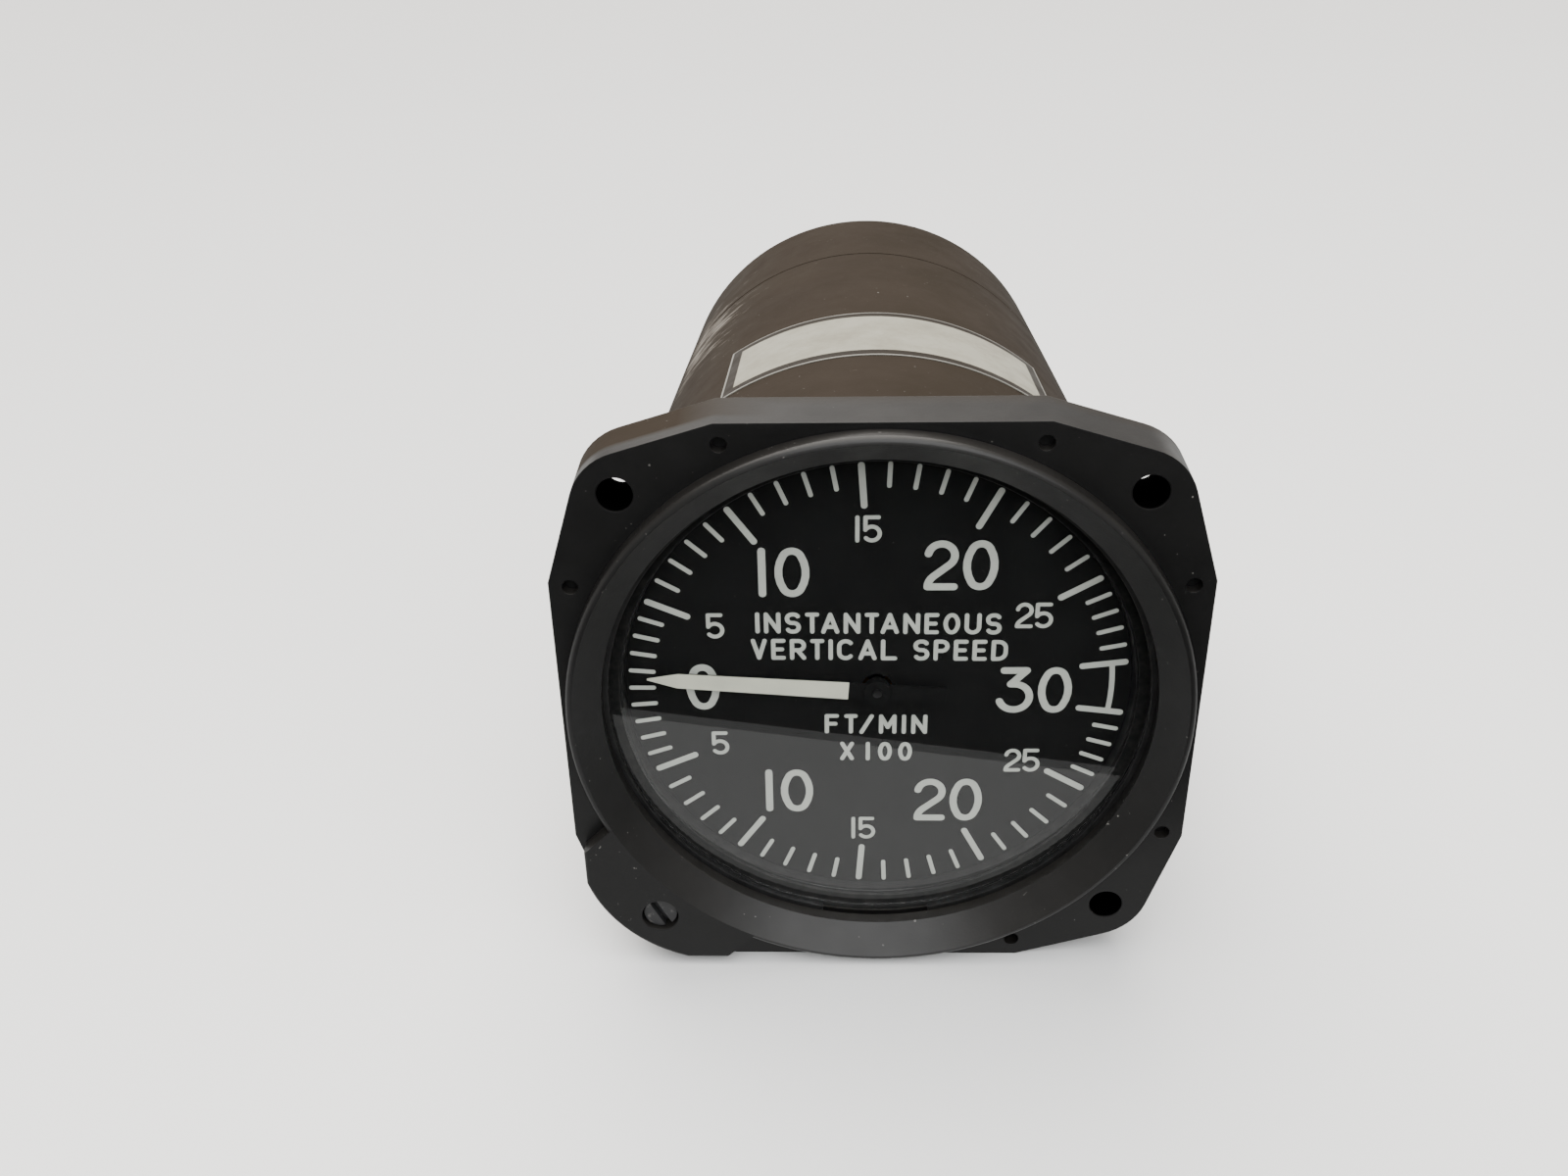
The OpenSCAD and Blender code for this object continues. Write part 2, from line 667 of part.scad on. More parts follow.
module cover_screws() color(steel) difference() {
    intersection() {
        cover_screw_set(0.1);
        rod([0, 0], screw_top, screw_y - 2 * screw_d, screw_y + 2 * screw_d);
    }
    for (a = cover_screw_a)
        translate([0, screw_y, 0]) rotate([0, a, 0])
            translate([-screw_d, -screw_slot_w / 2, screw_top - screw_slot_depth])
                cube([2 * screw_d, screw_slot_w, 2 * screw_slot_depth]);
}

module rear_cover() color(case_black) difference() {
    turned() polygon(concat(
        [[spigot_r - spigot_t, seam_y - spigot_len], [spigot_r, seam_y - spigot_len],
         [spigot_r, seal_y], [spigot_r - seal_d, seal_y],
         [spigot_r - seal_d, seal_y + seal_d + 0.2], [spigot_r, seal_y + seal_d + 0.2],
         [spigot_r, seam_y], [cone_r(seam_y) - seam_bevel, seam_y],
         [cone_r(seam_y + seam_bevel), seam_y + seam_bevel]],
        [for (k = [0:22.5:90])
            [cone_r(back_y) - rear_round * (1 - cos(k)), back_y - rear_round * (1 - sin(k))]],
        [[0, back_y], [0, end_y], [cone_r(end_y) - cover_wall, end_y],
         [cone_r(seam_y) - cover_wall, seam_y + cover_wall],
         [spigot_r - spigot_t, seam_y + cover_wall]]));
    cover_screw_set(0);
    rod([0, 0], stem_d / 2, end_y - 1, back_y + 1);
}

module cover_seal() color(seal_black) turned()
    translate([spigot_bore_r - seal_d / 2 - 0.01, seal_y + seal_d / 2 + 0.1]) circle(seal_d / 2, $fn = 32);

module nameplate() color(silver) turned_part(-label_left, label_right) polygon([
    [cone_r(label_y0), label_y0], [cone_r(label_y0) + label_t, label_y0],
    [cone_r(label_y0 + label_len) + label_t, label_y0 + label_len],
    [cone_r(label_y0 + label_len), label_y0 + label_len]]);

module ring(r, r2, y, t) turned() polygon([[r, y], [r2, y], [r2, y + t], [r, y + t]]);

module glass() color([0.75, 0.8, 0.82, 0.35]) rod([0, 0], stack_r, glass_y, gasket_y);
module glass_gasket() color(seal_black) ring(stack_r - gasket_w, stack_r, gasket_y, gasket_t);
module snap(r, r2, y) turned_part(180 + snap_gap / 2, 540 - snap_gap / 2)
    polygon([[r, y], [r2, y], [r2, y + snap_t], [r, y + snap_t]]);
module snap_ring() color(gloss_black) snap(bore_r - snap_show, bore_r + snap_groove - 0.1, snap_y);
module plate_ring() color(steel) snap(plate_bore_r - 1.4, plate_bore_r + snap_groove - 0.1, ring2_y);
module glare_ring() color(gloss_black) turned() polygon([
    [stack_r - glare_w + glare_slope, glare_y], [stack_r, glare_y],
    [stack_r, dial_y], [stack_r - glare_w, dial_y]]);
module dial() color(dial_black) difference() {
    rod([0, 0], stack_r, dial_y, dial_depth);
    rod([0, 0], dial_hole_d / 2, dial_y - 1, dial_depth + 1);
}

// Scale: angle above nine o'clock for a rate, the same on both sides
scale_law = [[0, 0], [5, 24], [10, 54.4], [15, 86], [20, 117.4], [25, 149.55], [30, 173]];
function mark_a(v) = lookup(abs(v), scale_law);
module mark2d(v) {
    big = abs(v) % 5 == 0;
    w = big ? major_w : minor_w;
    r = big ? major_inner_r : minor_inner_r;
    rotate(180 - sign(v) * mark_a(v)) bar2d([r + w / 2, 0], [mark_outer_r - w / 2, 0], w);
}
module dial_marks() color(mark_white) slab(dial_y - mark_t, mark_t) {
    for (v = [-30:30]) if (v != 0) mark2d(v);
    bar2d([-minor_inner_r - minor_w / 2, 0], [-mark_outer_r + minor_w / 2, 0], minor_w);
    arc2d(bracket_r - bracket_w / 2, bracket_r + bracket_w / 2, 0, 180 - mark_a(30), 6);
}

// Zero adjuster
module zero_screw() color(gloss_black) difference() {
    union() {
        rod(zero_at, zero_head_d / 2, head_y, head_floor - play);
        rod(zero_at, zero_shank_d / 2, head_floor - play - 0.5, lug_y - 0.4);
        rod(zero_at, tip_d / 2, lug_y - 1, lug_y + lid_t);
    }
    slab(head_y - 1, 1 + head_slot_depth) at(zero_at) rotate(zero_slot_a)
        square([zero_head_d + 1, zero_slot_w], center = true);
    translate([zero_at[0], 0, zero_at[1]]) turned() polygon([
        [zero_shank_d / 2 - groove_depth, groove_y], [zero_shank_d, groove_y],
        [zero_shank_d, groove_y + groove_len], [zero_shank_d / 2 - groove_depth, groove_y + groove_len]]);
}
module zero_seal() color(seal_black)
    translate([zero_at[0], groove_y + groove_len / 2, zero_at[1]]) rotate([-90, 0, 0]) rotate_extrude()
        translate([zero_shank_d / 2 - groove_depth + zero_seal_r + 0.01, 0]) circle(zero_seal_r, $fn = 24);
module zero_pinion() color(brass) difference() {
    union() {
        slab(plate_depth - window_gap, zero_pinion_t) at(zero_at)
            pinion2d(zero_teeth, zero_mod, pinion_root_r, zero_pr + zero_mod, zero_a + 180);
        rod(zero_at, pinion_root_r, pocket_y + play, plate_depth);
    }
    rod(zero_at, zero_shank_d / 2, 0, lug_y);
}
module zero_lid() color(case_black) difference() {
    slab(lug_y, lid_t) difference() {
        lug2d(lid_inset);
        circle(cone_r(lug_y) + slip);
    }
    rod(zero_at, tip_d / 2 + run, lug_y - 1, lug_y + lid_t + 1);
    for (s = [-1, 1])
        rod(polar(lid_screw_r, zero_a + s * lid_screw_a), lid_screw_d / 2, lug_y - 1, lug_y + lid_t + 1);
}
module zero_lid_screws() color(steel) for (s = [-1, 1]) difference() {
    union() {
        rod(polar(lid_screw_r, zero_a + s * lid_screw_a), lid_screw_d / 2,
            lug_y - lid_screw_len, lug_y + lid_t + 0.3);
        rod(polar(lid_screw_r, zero_a + s * lid_screw_a), lid_screw_d * 0.9,
            lug_y + lid_t, lug_y + lid_t + screw_head_t);
    }
    slab(lug_y + lid_t + screw_head_t / 2, 1) at(polar(lid_screw_r, zero_a + s * lid_screw_a))
        square([3 * lid_screw_d, 0.3], center = true);
}

// Movement frame
arm_screw_in = 5.6;
arm_screw_a = 5.5;
arm_screw_at = [for (s = [-1, 1]) polar(ledge_r - arm_screw_in, zero_a + s * arm_screw_a)];
module plate_holes(y) {
    for (p = pillar_at) rod(p, frame_screw_d / 2, y - 1, y + plate_t + 1);
    rod(shaft_at, pivot_d / 2 + run, y - 1, y + plate_t + 1);
}
module front_plate() color(brass) difference() {
    rod([0, 0], plate_r, plate_y, plate_depth);
    plate_holes(plate_y);
    rod([0, 0], jewel_r, plate_y - 1, plate_depth + 1);
    for (p = arm_screw_at) rod(p, small_screw_d / 2, plate_y - 1, plate_depth + 1);
    for (w = front_windows) rod(w, w[2], plate_y - 1, plate_depth + 1);
}
module rear_plate() color(brass) difference() {
    rod([0, 0], rear_plate_r, rear_y, rear_y + plate_t);
    plate_holes(rear_y);
    rod([0, 0], tube_d / 2, rear_y - 1, rear_y + plate_t + 1);
    for (w = rear_windows) rod(w, w[2], rear_y - 1, rear_y + plate_t + 1);
}
module zero_arm() color(brass) difference() {
    slab(plate_depth, arm_t) toothed_arc2d(arm_n, zero_mod, arm_pr - (1 + tip_gap) * zero_mod,
        arm_pr + arm_add * zero_mod, ledge_r - 8, zero_a, arm_half);
    for (p = arm_screw_at) rod(p, small_screw_d / 2, plate_depth - 1, plate_depth + arm_t + 1);
}
module zero_arm_screws() color(steel) for (p = arm_screw_at) {
    rod(p, small_screw_d / 2, plate_y + 0.2, plate_depth + arm_t + 0.2);
    rod(p, small_screw_d * 0.9, plate_depth + arm_t, plate_depth + arm_t + screw_head_t);
}
module pillar(i) color(brass) difference() {
    rod(pillar_at[i], pillar_d / 2, plate_depth, rear_y);
    rod(pillar_at[i], frame_screw_d / 2, plate_depth - 1, plate_depth + pillar_thread + thread_room);
    rod(pillar_at[i], frame_screw_d / 2, rear_y - pillar_thread - thread_room, rear_y + 1);
}
module pillar_left() pillar(0);
module pillar_right() pillar(1);
module pillar_low() pillar(2);
module pillar_screws() color(steel) for (p = pillar_at) {
    rod(p, frame_screw_d / 2, plate_y - 0.2, plate_depth + pillar_thread);
    rod(p, frame_screw_d, plate_y - 1, plate_y);
    rod(p, frame_screw_d / 2, rear_y - pillar_thread, rear_y + plate_t + 0.2);
    rod(p, frame_screw_d, rear_y + plate_t, rear_y + plate_t + 1);
}
module staff_bush() color(bronze) difference() {
    rod([0, 0], jewel_r, plate_y, plate_depth);
    rod([0, 0], staff_d / 2 + run, plate_y - 1, plate_depth + 1);
}
module bridge() color(brass) difference() {
    slab(bridge_y, bridge_t) rounded2d(bridge_pts, bridge_rim);
    rod([0, 0], pivot_d / 2 + run, bridge_y - 1, bridge_y + bridge_t + 1);
    for (i = [0, 1]) rod(bridge_pts[i], small_screw_d / 2, bridge_y - 1, bridge_y + bridge_t + 1);
}
module bridge_posts() color(brass) for (i = [0, 1]) difference() {
    rod(bridge_pts[i], post_d / 2, plate_depth, bridge_y);
    rod(bridge_pts[i], small_screw_d / 2, bridge_y - post_thread - thread_room, bridge_y + 1);
}
module bridge_screws() color(steel) for (i = [0, 1]) {
    rod(bridge_pts[i], small_screw_d / 2, bridge_y - post_thread, bridge_y + bridge_t + 0.2);
    rod(bridge_pts[i], small_screw_d, bridge_y + bridge_t, bridge_y + bridge_t + screw_head_t);
}
module hairspring_stud() color(brass) rod([0, -hair_r - 0.8], 0.5, hair_y - 0.2, bridge_y);

// Pointer and its staff
module staff() color(steel) {
    rod([0, 0], staff_d / 2, hub_y - 0.2, bridge_y - play);
    rod([0, 0], pivot_d / 2, bridge_y - play - 1, bridge_y + bridge_t - 0.1);
}
module staff_pinion() color(brass) difference() {
    slab(gear_y - 0.6, 2) pinion2d(staff_teeth, fine_mod, staff_pr - (1 + tip_gap) * fine_mod,
        staff_pr + fine_mod, shaft_dir);
    rod([0, 0], staff_d / 2, gear_y - 2, gear_y + 3);
}
module blade2d(start, trim) rotate(180 - pointer_rest) polygon([
    [start, pointer_w_hub / 2 - trim], [pointer_len - pointer_tip_len, pointer_w_tip / 2 - trim],
    [pointer_len - trim, 0.12], [pointer_len - trim, -0.12],
    [pointer_len - pointer_tip_len, trim - pointer_w_tip / 2], [start, trim - pointer_w_hub / 2]]);
module pointer() color(cream) slab(blade_y - coat_t, coat_t) blade2d(pointer_start, 0);
module pointer_arm() color(gloss_black) difference() {
    union() {
        slab(blade_y, blade_t) blade2d(-pointer_tail, 0.05);
        rod([0, 0], hub_r, hub_y, dial_y - 0.3);
    }
    rod([0, 0], staff_d / 2, hub_y - 1, dial_y);
}
// Point of the hairspring's strip at a share s of its length, to one side of its middle
function hair_pt(s, side) =
    polar(hair_hub_r + (hair_r - hair_hub_r) * s + side, -90 + 360 * hair_turns * (s - 1));
module hairspring() color(bronze) slab(hair_y, hair_h) {
    n = hair_turns * 20;
    difference() {
        circle(hair_hub_r);
        circle(staff_d / 2);
    }
    polygon(concat(
        [for (i = [0:n]) hair_pt(i / n, hair_w / 2)],
        [for (i = [n:-1:0]) hair_pt(i / n, -hair_w / 2)]));
}

// Rocking shaft and what it carries
module rocking_shaft() color(steel) {
    rod(shaft_at, shaft_d / 2, plate_depth + play, rear_y - play);
    rod(shaft_at, pivot_d / 2, plate_y + 0.3, plate_depth + 1);
    rod(shaft_at, pivot_d / 2, rear_y - 1, rear_y + plate_t - 0.3);
}
module sector_gear() color(brass) difference() {
    union() {
        slab(gear_y, sector_t) at(shaft_at) {
            low = sector_pr - (1 + tip_gap) * fine_mod;
            back = shaft_dir + 180;
            toothed_arc2d(sector_n, fine_mod, low, sector_pr + fine_mod, low - sector_rim, back, sector_half);
            for (s = [-1, 1])
                bar2d([0, 0], polar(low - sector_rim / 2, back + s * (sector_half - spoke_in)), sector_rim - 0.4);
        }
        rod(shaft_at, arm_hub_r, gear_y - 0.8, gear_y + sector_t + 0.8);
    }
    rod(shaft_at, shaft_d / 2, gear_y - 2, gear_y + 4);
}
module calibration_arm() color(steel) difference() {
    union() {
        rod(shaft_at, arm_hub_r, cap_y - eye_t / 2 - 3, cap_y - eye_t / 2 - 0.3);
        slab(cap_y - eye_t / 2 - 1.5, 1.2) bar2d(shaft_at, [0, shaft_at[1]], 2.4);
        rod([0, shaft_at[1]], link_pin_d / 2, cap_y - eye_t / 2 - 1, cap_y + eye_t / 2 + 0.5);
    }
    rod(shaft_at, shaft_d / 2, cap_y - 6, cap_y + 3);
}
module balance_weight() color(brass) difference() {
    union() {
        rod(shaft_at, arm_hub_r, weight_y - 1, weight_y + 1);
        slab(weight_y - 0.5, 1) bar2d(shaft_at, shaft_at + polar(weight_arm, shaft_dir), 1.4);
        rod(shaft_at + polar(weight_arm, shaft_dir), weight_r, weight_y - 1.5, weight_y + 1.5);
    }
    rod(shaft_at, shaft_d / 2, weight_y - 3, weight_y + 3);
}

// Link, capsule and its tube
module link() color(steel) difference() {
    union() {
        rod([0, shaft_at[1]], eye_r, cap_y - eye_t / 2, cap_y + eye_t / 2);
        translate([0, cap_y, link_low_z]) cylinder(d = link_d, h = shaft_at[1] - eye_r + 0.3 - link_low_z);
    }
    rod([0, shaft_at[1]], link_pin_d / 2 + 0.4, cap_y - 2, cap_y + 2);
}
module capsule_post() color(brass) difference() {
    translate([0, cap_y, cap_top_z]) cylinder(d = post2_d, h = post2_h);
    translate([0, cap_y, link_low_z]) cylinder(d = link_d, h = post2_h);
}
// Corrugated half: a flat hub, waves that fall to the rim and a flat rim
hub_flat = cap_r / 5;
function wave_z(s) =
    (cap_half - skin_t) * (1 - s) + (rim_t - skin_t) * s + wave_h * (1 - cos(360 * cap_waves * s)) / 2;
module capsule_half() {
    r2 = cap_r - cap_rim;
    n = cap_waves * 6;
    rotate_extrude() polygon(concat(
        [[0, cap_half], [hub_flat, cap_half]],
        [for (i = [1:n]) let(s = i / n) [hub_flat + (r2 - hub_flat) * s, wave_z(s) + skin_t]],
        [[cap_r, rim_t], [cap_r, 0], [r2, 0]],
        [for (i = [n:-1:1]) let(s = i / n) [hub_flat + (r2 - hub_flat) * s - 0.02, i == n ? 0.01 : wave_z(s)]],
        [[hub_flat, cap_half - skin_t], [0, cap_half - skin_t]]));
}
module capsule_top() color(bronze) translate([0, cap_y, cap_z]) capsule_half();
module capsule_bottom() color(bronze) translate([0, cap_y, cap_z]) mirror([0, 0, 1]) capsule_half();
module capsule_block() color(brass) difference() {
    low = -pillar_r - pillar_d / 2 - 0.8;
    translate([-block_w / 2, cap_y - block_w / 2, low]) cube([block_w, block_w, cap_low_z - low]);
    rod(pillar_at[2], pillar_d / 2, cap_y - block_w, cap_y + block_w);
    rod([0, tube_z], tube_d / 2, cap_y, cap_y + block_w);
}
module capsule_tube() color(bronze) {
    r = tube_d / 2;
    rod([0, tube_z], r, cap_y, tube_y);
    translate([0, tube_y, tube_z]) sphere(r, $fn = 48);
    translate([0, tube_y, tube_z]) cylinder(r = r, h = -tube_z);
    translate([0, tube_y, 0]) sphere(r, $fn = 48);
    rod([0, 0], r, tube_y, tube_end_y);
}
module tube_seal() color(seal_black) ring(tube_d / 2 + run, tube_seal_r, tube_seal_y, tube_seal_len);

// Rear cover: static port, manifold, restrictor and the two acceleration pumps
module manifold() color(brass) difference() {
    w = manifold_w / 2;
    translate([-w, manifold_y, -w]) cube([2 * w, manifold_len, 2 * w]);
    rod([0, 0], stem_d / 2, stem_y - 0.5, end_y + 1);
    rod([0, 0], passage_d / 2, tube_end_y - 0.5, stem_y);
    rod([0, 0], tube_d / 2 + run, manifold_y - 1, tube_end_y);
    rod([0, 0], tube_seal_r, tube_seal_y, tube_seal_y + tube_seal_len);
    for (s = [-1, 1]) translate([s * line_x, pump_y, -w - 1]) cylinder(d = line_d - 0.8, h = 4);
}
module restrictor() color(steel) translate([0, pump_y, manifold_w / 2]) difference() {
    union() {
        cylinder(d = 1.7 * restrictor_d, h = restrictor_h / 4, $fn = 6);
        cylinder(d = restrictor_d, h = restrictor_h);
    }
    translate([0, 0, restrictor_h / 6]) cylinder(d = restrictor_d / 6, h = restrictor_h);
}
module static_port() color(brass) difference() {
    union() {
        slab(hex_y, port_len) circle(port_af / 2 / cos(30), $fn = 6);
        rod([0, 0], stem_d / 2, stem_y, hex_y + 0.2);
    }
    rod([0, 0], port_thread_r, port_y - thread_len, port_y + 1);
    rod([0, 0], passage_d / 2, stem_y - 1, port_y);
}
module port_seal() color(seal_black) ring(stem_d / 2, stem_d / 2 + 1.4, back_y, washer_t);
module pump(s) color(silver) difference() {
    union() {
        translate([s * pump_x, pump_y, -pump_h / 2]) cylinder(d = pump_d, h = pump_h);
        translate([s * pump_x - foot_w / 2, pump_y, foot_end - pump_h / 2])
            cube([foot_w, end_y - pump_y, pump_h - 2 * foot_end]);
    }
    translate([s * pump_x, pump_y, pump_floor - pump_h / 2]) cylinder(r = pump_bore_r, h = pump_h);
    translate([s * pump_x, pump_y, -pump_h / 2 - 1]) cylinder(d = line_d - 0.8, h = pump_floor + 2);
}
module pump_left() pump(-1);
module pump_right() pump(1);
module piston(s) color(brass) translate([s * pump_x, pump_y, -piston_h / 2]) difference() {
    cylinder(d = piston_d, h = piston_h);
    for (z = [groove_in, piston_h - groove_in - groove_w]) translate([0, 0, z]) difference() {
        cylinder(d = piston_d + 1, h = groove_w);
        cylinder(d = piston_d - 2 * groove_sink, h = groove_w);
    }
}
module pump_piston_left() piston(-1);
module pump_piston_right() piston(1);
module pump_spring(s) color(steel)
    translate([s * pump_x, pump_y, pump_floor - pump_h / 2])
        coil(piston_d / 2 - 0.9, spring_wire, spring_len, spring_turns);
module pump_spring_left() pump_spring(-1);
module pump_spring_right() pump_spring(1);
module pump_lids() color(silver) for (s = [-1, 1]) translate([s * pump_x, pump_y, pump_h / 2]) difference() {
    union() {
        cylinder(d = pump_d, h = pump_lid_t);
        translate([0, 0, -pump_floor]) cylinder(r = pump_bore_r, h = pump_floor + 0.5);
    }
    translate([0, 0, -pump_floor - 1]) cylinder(d = 1, h = pump_floor + 4);
}
module pump_lines() color(bronze) for (s = [-1, 1]) {
    r = line_d / 2;
    translate([s * pump_x, pump_y, line_z]) cylinder(r = r, h = -pump_h / 2 - line_z);
    translate([s * pump_x, pump_y, line_z]) sphere(r, $fn = 48);
    translate([s * line_x, pump_y, line_z]) sphere(r, $fn = 48);
    translate([min(s * pump_x, s * line_x), pump_y, line_z]) rotate([0, 90, 0])
        cylinder(r = r, h = pump_x - line_x);
    translate([s * line_x, pump_y, line_z]) cylinder(r = r, h = -manifold_w / 2 - line_z);
}

case();
rear_cover();
cover_seal();
cover_screws();
nameplate();
glass();
glass_gasket();
snap_ring();
glare_ring();
dial();
dial_marks();
zero_screw();
zero_seal();
zero_pinion();
zero_lid();
zero_lid_screws();
front_plate();
plate_ring();
zero_arm();
zero_arm_screws();
pillar_left();
pillar_right();
pillar_low();
pillar_screws();
rear_plate();
staff_bush();
bridge();
bridge_posts();
bridge_screws();
hairspring_stud();
staff();
staff_pinion();
pointer();
pointer_arm();
hairspring();
rocking_shaft();
sector_gear();
calibration_arm();
balance_weight();
link();
capsule_post();
capsule_top();
capsule_bottom();
capsule_block();
capsule_tube();
tube_seal();
manifold();
restrictor();
static_port();
port_seal();
pump_left();
pump_right();
pump_piston_left();
pump_piston_right();
pump_spring_left();
pump_spring_right();
pump_lids();
pump_lines();
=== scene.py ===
import json
import math

import bmesh
import bpy
from mathutils import Matrix, Vector
from mathutils.geometry import delaunay_2d_cdt

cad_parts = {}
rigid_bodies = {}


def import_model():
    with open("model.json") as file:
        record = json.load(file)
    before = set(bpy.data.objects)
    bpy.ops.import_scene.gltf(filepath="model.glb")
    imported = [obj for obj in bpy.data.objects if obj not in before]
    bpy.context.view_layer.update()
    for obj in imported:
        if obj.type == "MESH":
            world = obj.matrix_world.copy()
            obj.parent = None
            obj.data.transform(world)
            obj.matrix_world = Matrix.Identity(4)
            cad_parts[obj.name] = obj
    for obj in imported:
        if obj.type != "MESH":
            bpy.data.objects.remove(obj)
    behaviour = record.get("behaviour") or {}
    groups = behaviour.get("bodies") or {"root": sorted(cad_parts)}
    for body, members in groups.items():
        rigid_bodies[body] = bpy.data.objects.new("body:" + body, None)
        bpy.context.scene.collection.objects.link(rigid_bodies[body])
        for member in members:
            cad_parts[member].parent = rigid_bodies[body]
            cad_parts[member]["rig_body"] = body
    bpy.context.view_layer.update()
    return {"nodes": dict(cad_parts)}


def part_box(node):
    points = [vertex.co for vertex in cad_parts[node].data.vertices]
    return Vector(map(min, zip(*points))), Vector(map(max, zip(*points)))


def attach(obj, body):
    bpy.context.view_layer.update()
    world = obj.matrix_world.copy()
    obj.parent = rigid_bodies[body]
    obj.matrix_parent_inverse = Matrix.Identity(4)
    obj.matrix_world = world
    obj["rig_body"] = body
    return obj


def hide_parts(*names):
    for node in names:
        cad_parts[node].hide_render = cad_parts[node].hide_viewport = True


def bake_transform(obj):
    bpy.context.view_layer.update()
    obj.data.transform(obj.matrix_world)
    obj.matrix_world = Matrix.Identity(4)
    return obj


bl_info = {
    "name": "Vertical Speed Indicator",
    "version": (1, 0, 0),
    "blender": (4, 5, 0),
    "location": "View3D > Sidebar > Instrument",
    "description": "Dresses the packed instrument with finishes, dial lettering and a studio",
    "category": "Object",
}

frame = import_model()

MM = 0.001
# Corners closer than this are one corner, and faces that turn by less are one face
WELD = 1e-6
FLAT = math.radians(0.4)

# Places on the part, with y running from the flange's front face to the rear
DIAL_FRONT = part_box("dial")[0].y
FLANGE_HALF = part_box("case")[1].x
FLANGE_BACK = 8 * MM
PAD_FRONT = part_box("case")[0].y
PAD_CORNER = -24 * MM
ZERO_SCREW = sum(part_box("zero_screw"), Vector((0, 0, 0))) / 2
RING_RADIUS = 39.7 * MM
HOLE_OFFSET = 31.435 * MM
HOLE_RADIUS = 2.15 * MM
DIMPLE_DEPTH = 1.5 * MM
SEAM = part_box("case")[1].y
PLATE_LEFT = math.radians(-34.0)
PLATE_RIGHT = math.radians(40.6)

# Colours that age and use leave on the finishes, and the painted shade inside the mounting holes
DUST = (0.30, 0.29, 0.27)
DUST_FILM = (0.14, 0.125, 0.105)
BARE_METAL = (0.34, 0.31, 0.27)
GRIME = (0.002, 0.0015, 0.001)
HOLE_SHADE = (0.001, 0.001, 0.001)

# Metals: name, tones from bright to stained, roughness, depth of the tool lines and strength of the stain
METALS = {
    "brass": ("turned_brass", ((0.60, 0.43, 0.17), (0.47, 0.32, 0.13), (0.30, 0.20, 0.09)),
              0.30, 0.006 * MM, 0.5),
    "bronze": ("spring_bronze", ((0.50, 0.29, 0.13), (0.40, 0.22, 0.10), (0.24, 0.13, 0.07)),
               0.34, 0.005 * MM, 0.5),
    "steel": ("ground_steel", ((0.50, 0.50, 0.51), (0.42, 0.42, 0.43), (0.22, 0.22, 0.23)),
              0.28, 0.005 * MM, 0.5),
    "aluminium": ("turned_aluminium", ((0.66, 0.66, 0.65), (0.56, 0.56, 0.56), (0.35, 0.35, 0.35)),
                  0.36, 0.006 * MM, 0.4),
}

# Numerals on the dial: text, middle across and middle up in millimetres
BIG_NUMERALS = (
    ("10", -11.9, 17.27),
    ("20", 10.31, 18.2),
    ("30", 20.52, -0.48),
    ("0", -22.85, 0.05),
    ("10", -11.78, -16.92),
    ("20", 9.88, -18.45),
)
SMALL_NUMERALS = (
    ("5", -20.8, 9.45),
    ("15", -1.3, 23.4),
    ("25", 19.85, 10.9),
    ("5", -20.83, -8.95),
    ("15", -1.65, -23.33),
    ("25", 19.57, -11.77),
)
# Legend lines: text, left end, right end, foot and height in millimetres
LEGEND = (
    ("INSTANTANEOUS", -15.72, 15.8, 8.2, 3.12),
    ("VERTICAL SPEED", -16.37, 16.78, 4.2, 3.15),
    ("FT/MIN", -6.9, 6.72, -7.4, 3.08),
    ("X100", -4.85, 4.8, -11.8, 3.0),
)
# Pairs that stand closer or wider than the rest of their line, in millimetres
PAIRS = {"TA": -0.31, "T/": -0.45, "X1": 0.75, "10": 0.25}
# How far each line of the legend falls towards the right, as a share of its length
LEGEND_FALL = 0.008
# Space after a numeral and after the numeral one
BIG_GAPS = (0.55 * MM, 1.08 * MM)
SMALL_GAPS = (0.36 * MM, 0.60 * MM)

# The studio: where the lamps hang and where the photograph was taken from
FLOOR_SIZE = 6.0
SKY_PLACE = (-0.25, 0.45, 1.0)
SKY_SPREAD = math.radians(70)
LAMP_PLACE = (0.10, -0.45, 0.66)
LAMP_SIZE = 0.9
CAMERA_PLACE = (-5.5 * MM, -160.65 * MM, 111.24 * MM)
CAMERA_TURN = math.radians(2.199)
CAMERA_TIP = math.radians(60.08)
CAMERA_LEAN = math.radians(-1.277)
CAMERA_LENS = 35.03
# Glowing cards that only the glass mirrors, as a painted reflection: name, grey as the strength of the
# glow, start and depth away from their front edge, and lift
CARD_EDGE = (-1.15 * MM, -43.0 * MM)
CARD_SLANT = math.radians(11.65)
CARD_WIDTH = 1.2
CARDS = (
    ("dark_reflection_card", 0.004, 0.0, 0.6, 0.4 * MM),
    ("glowing_reflection_card", 0.80, -0.6, 1.2, 0.2 * MM),
)


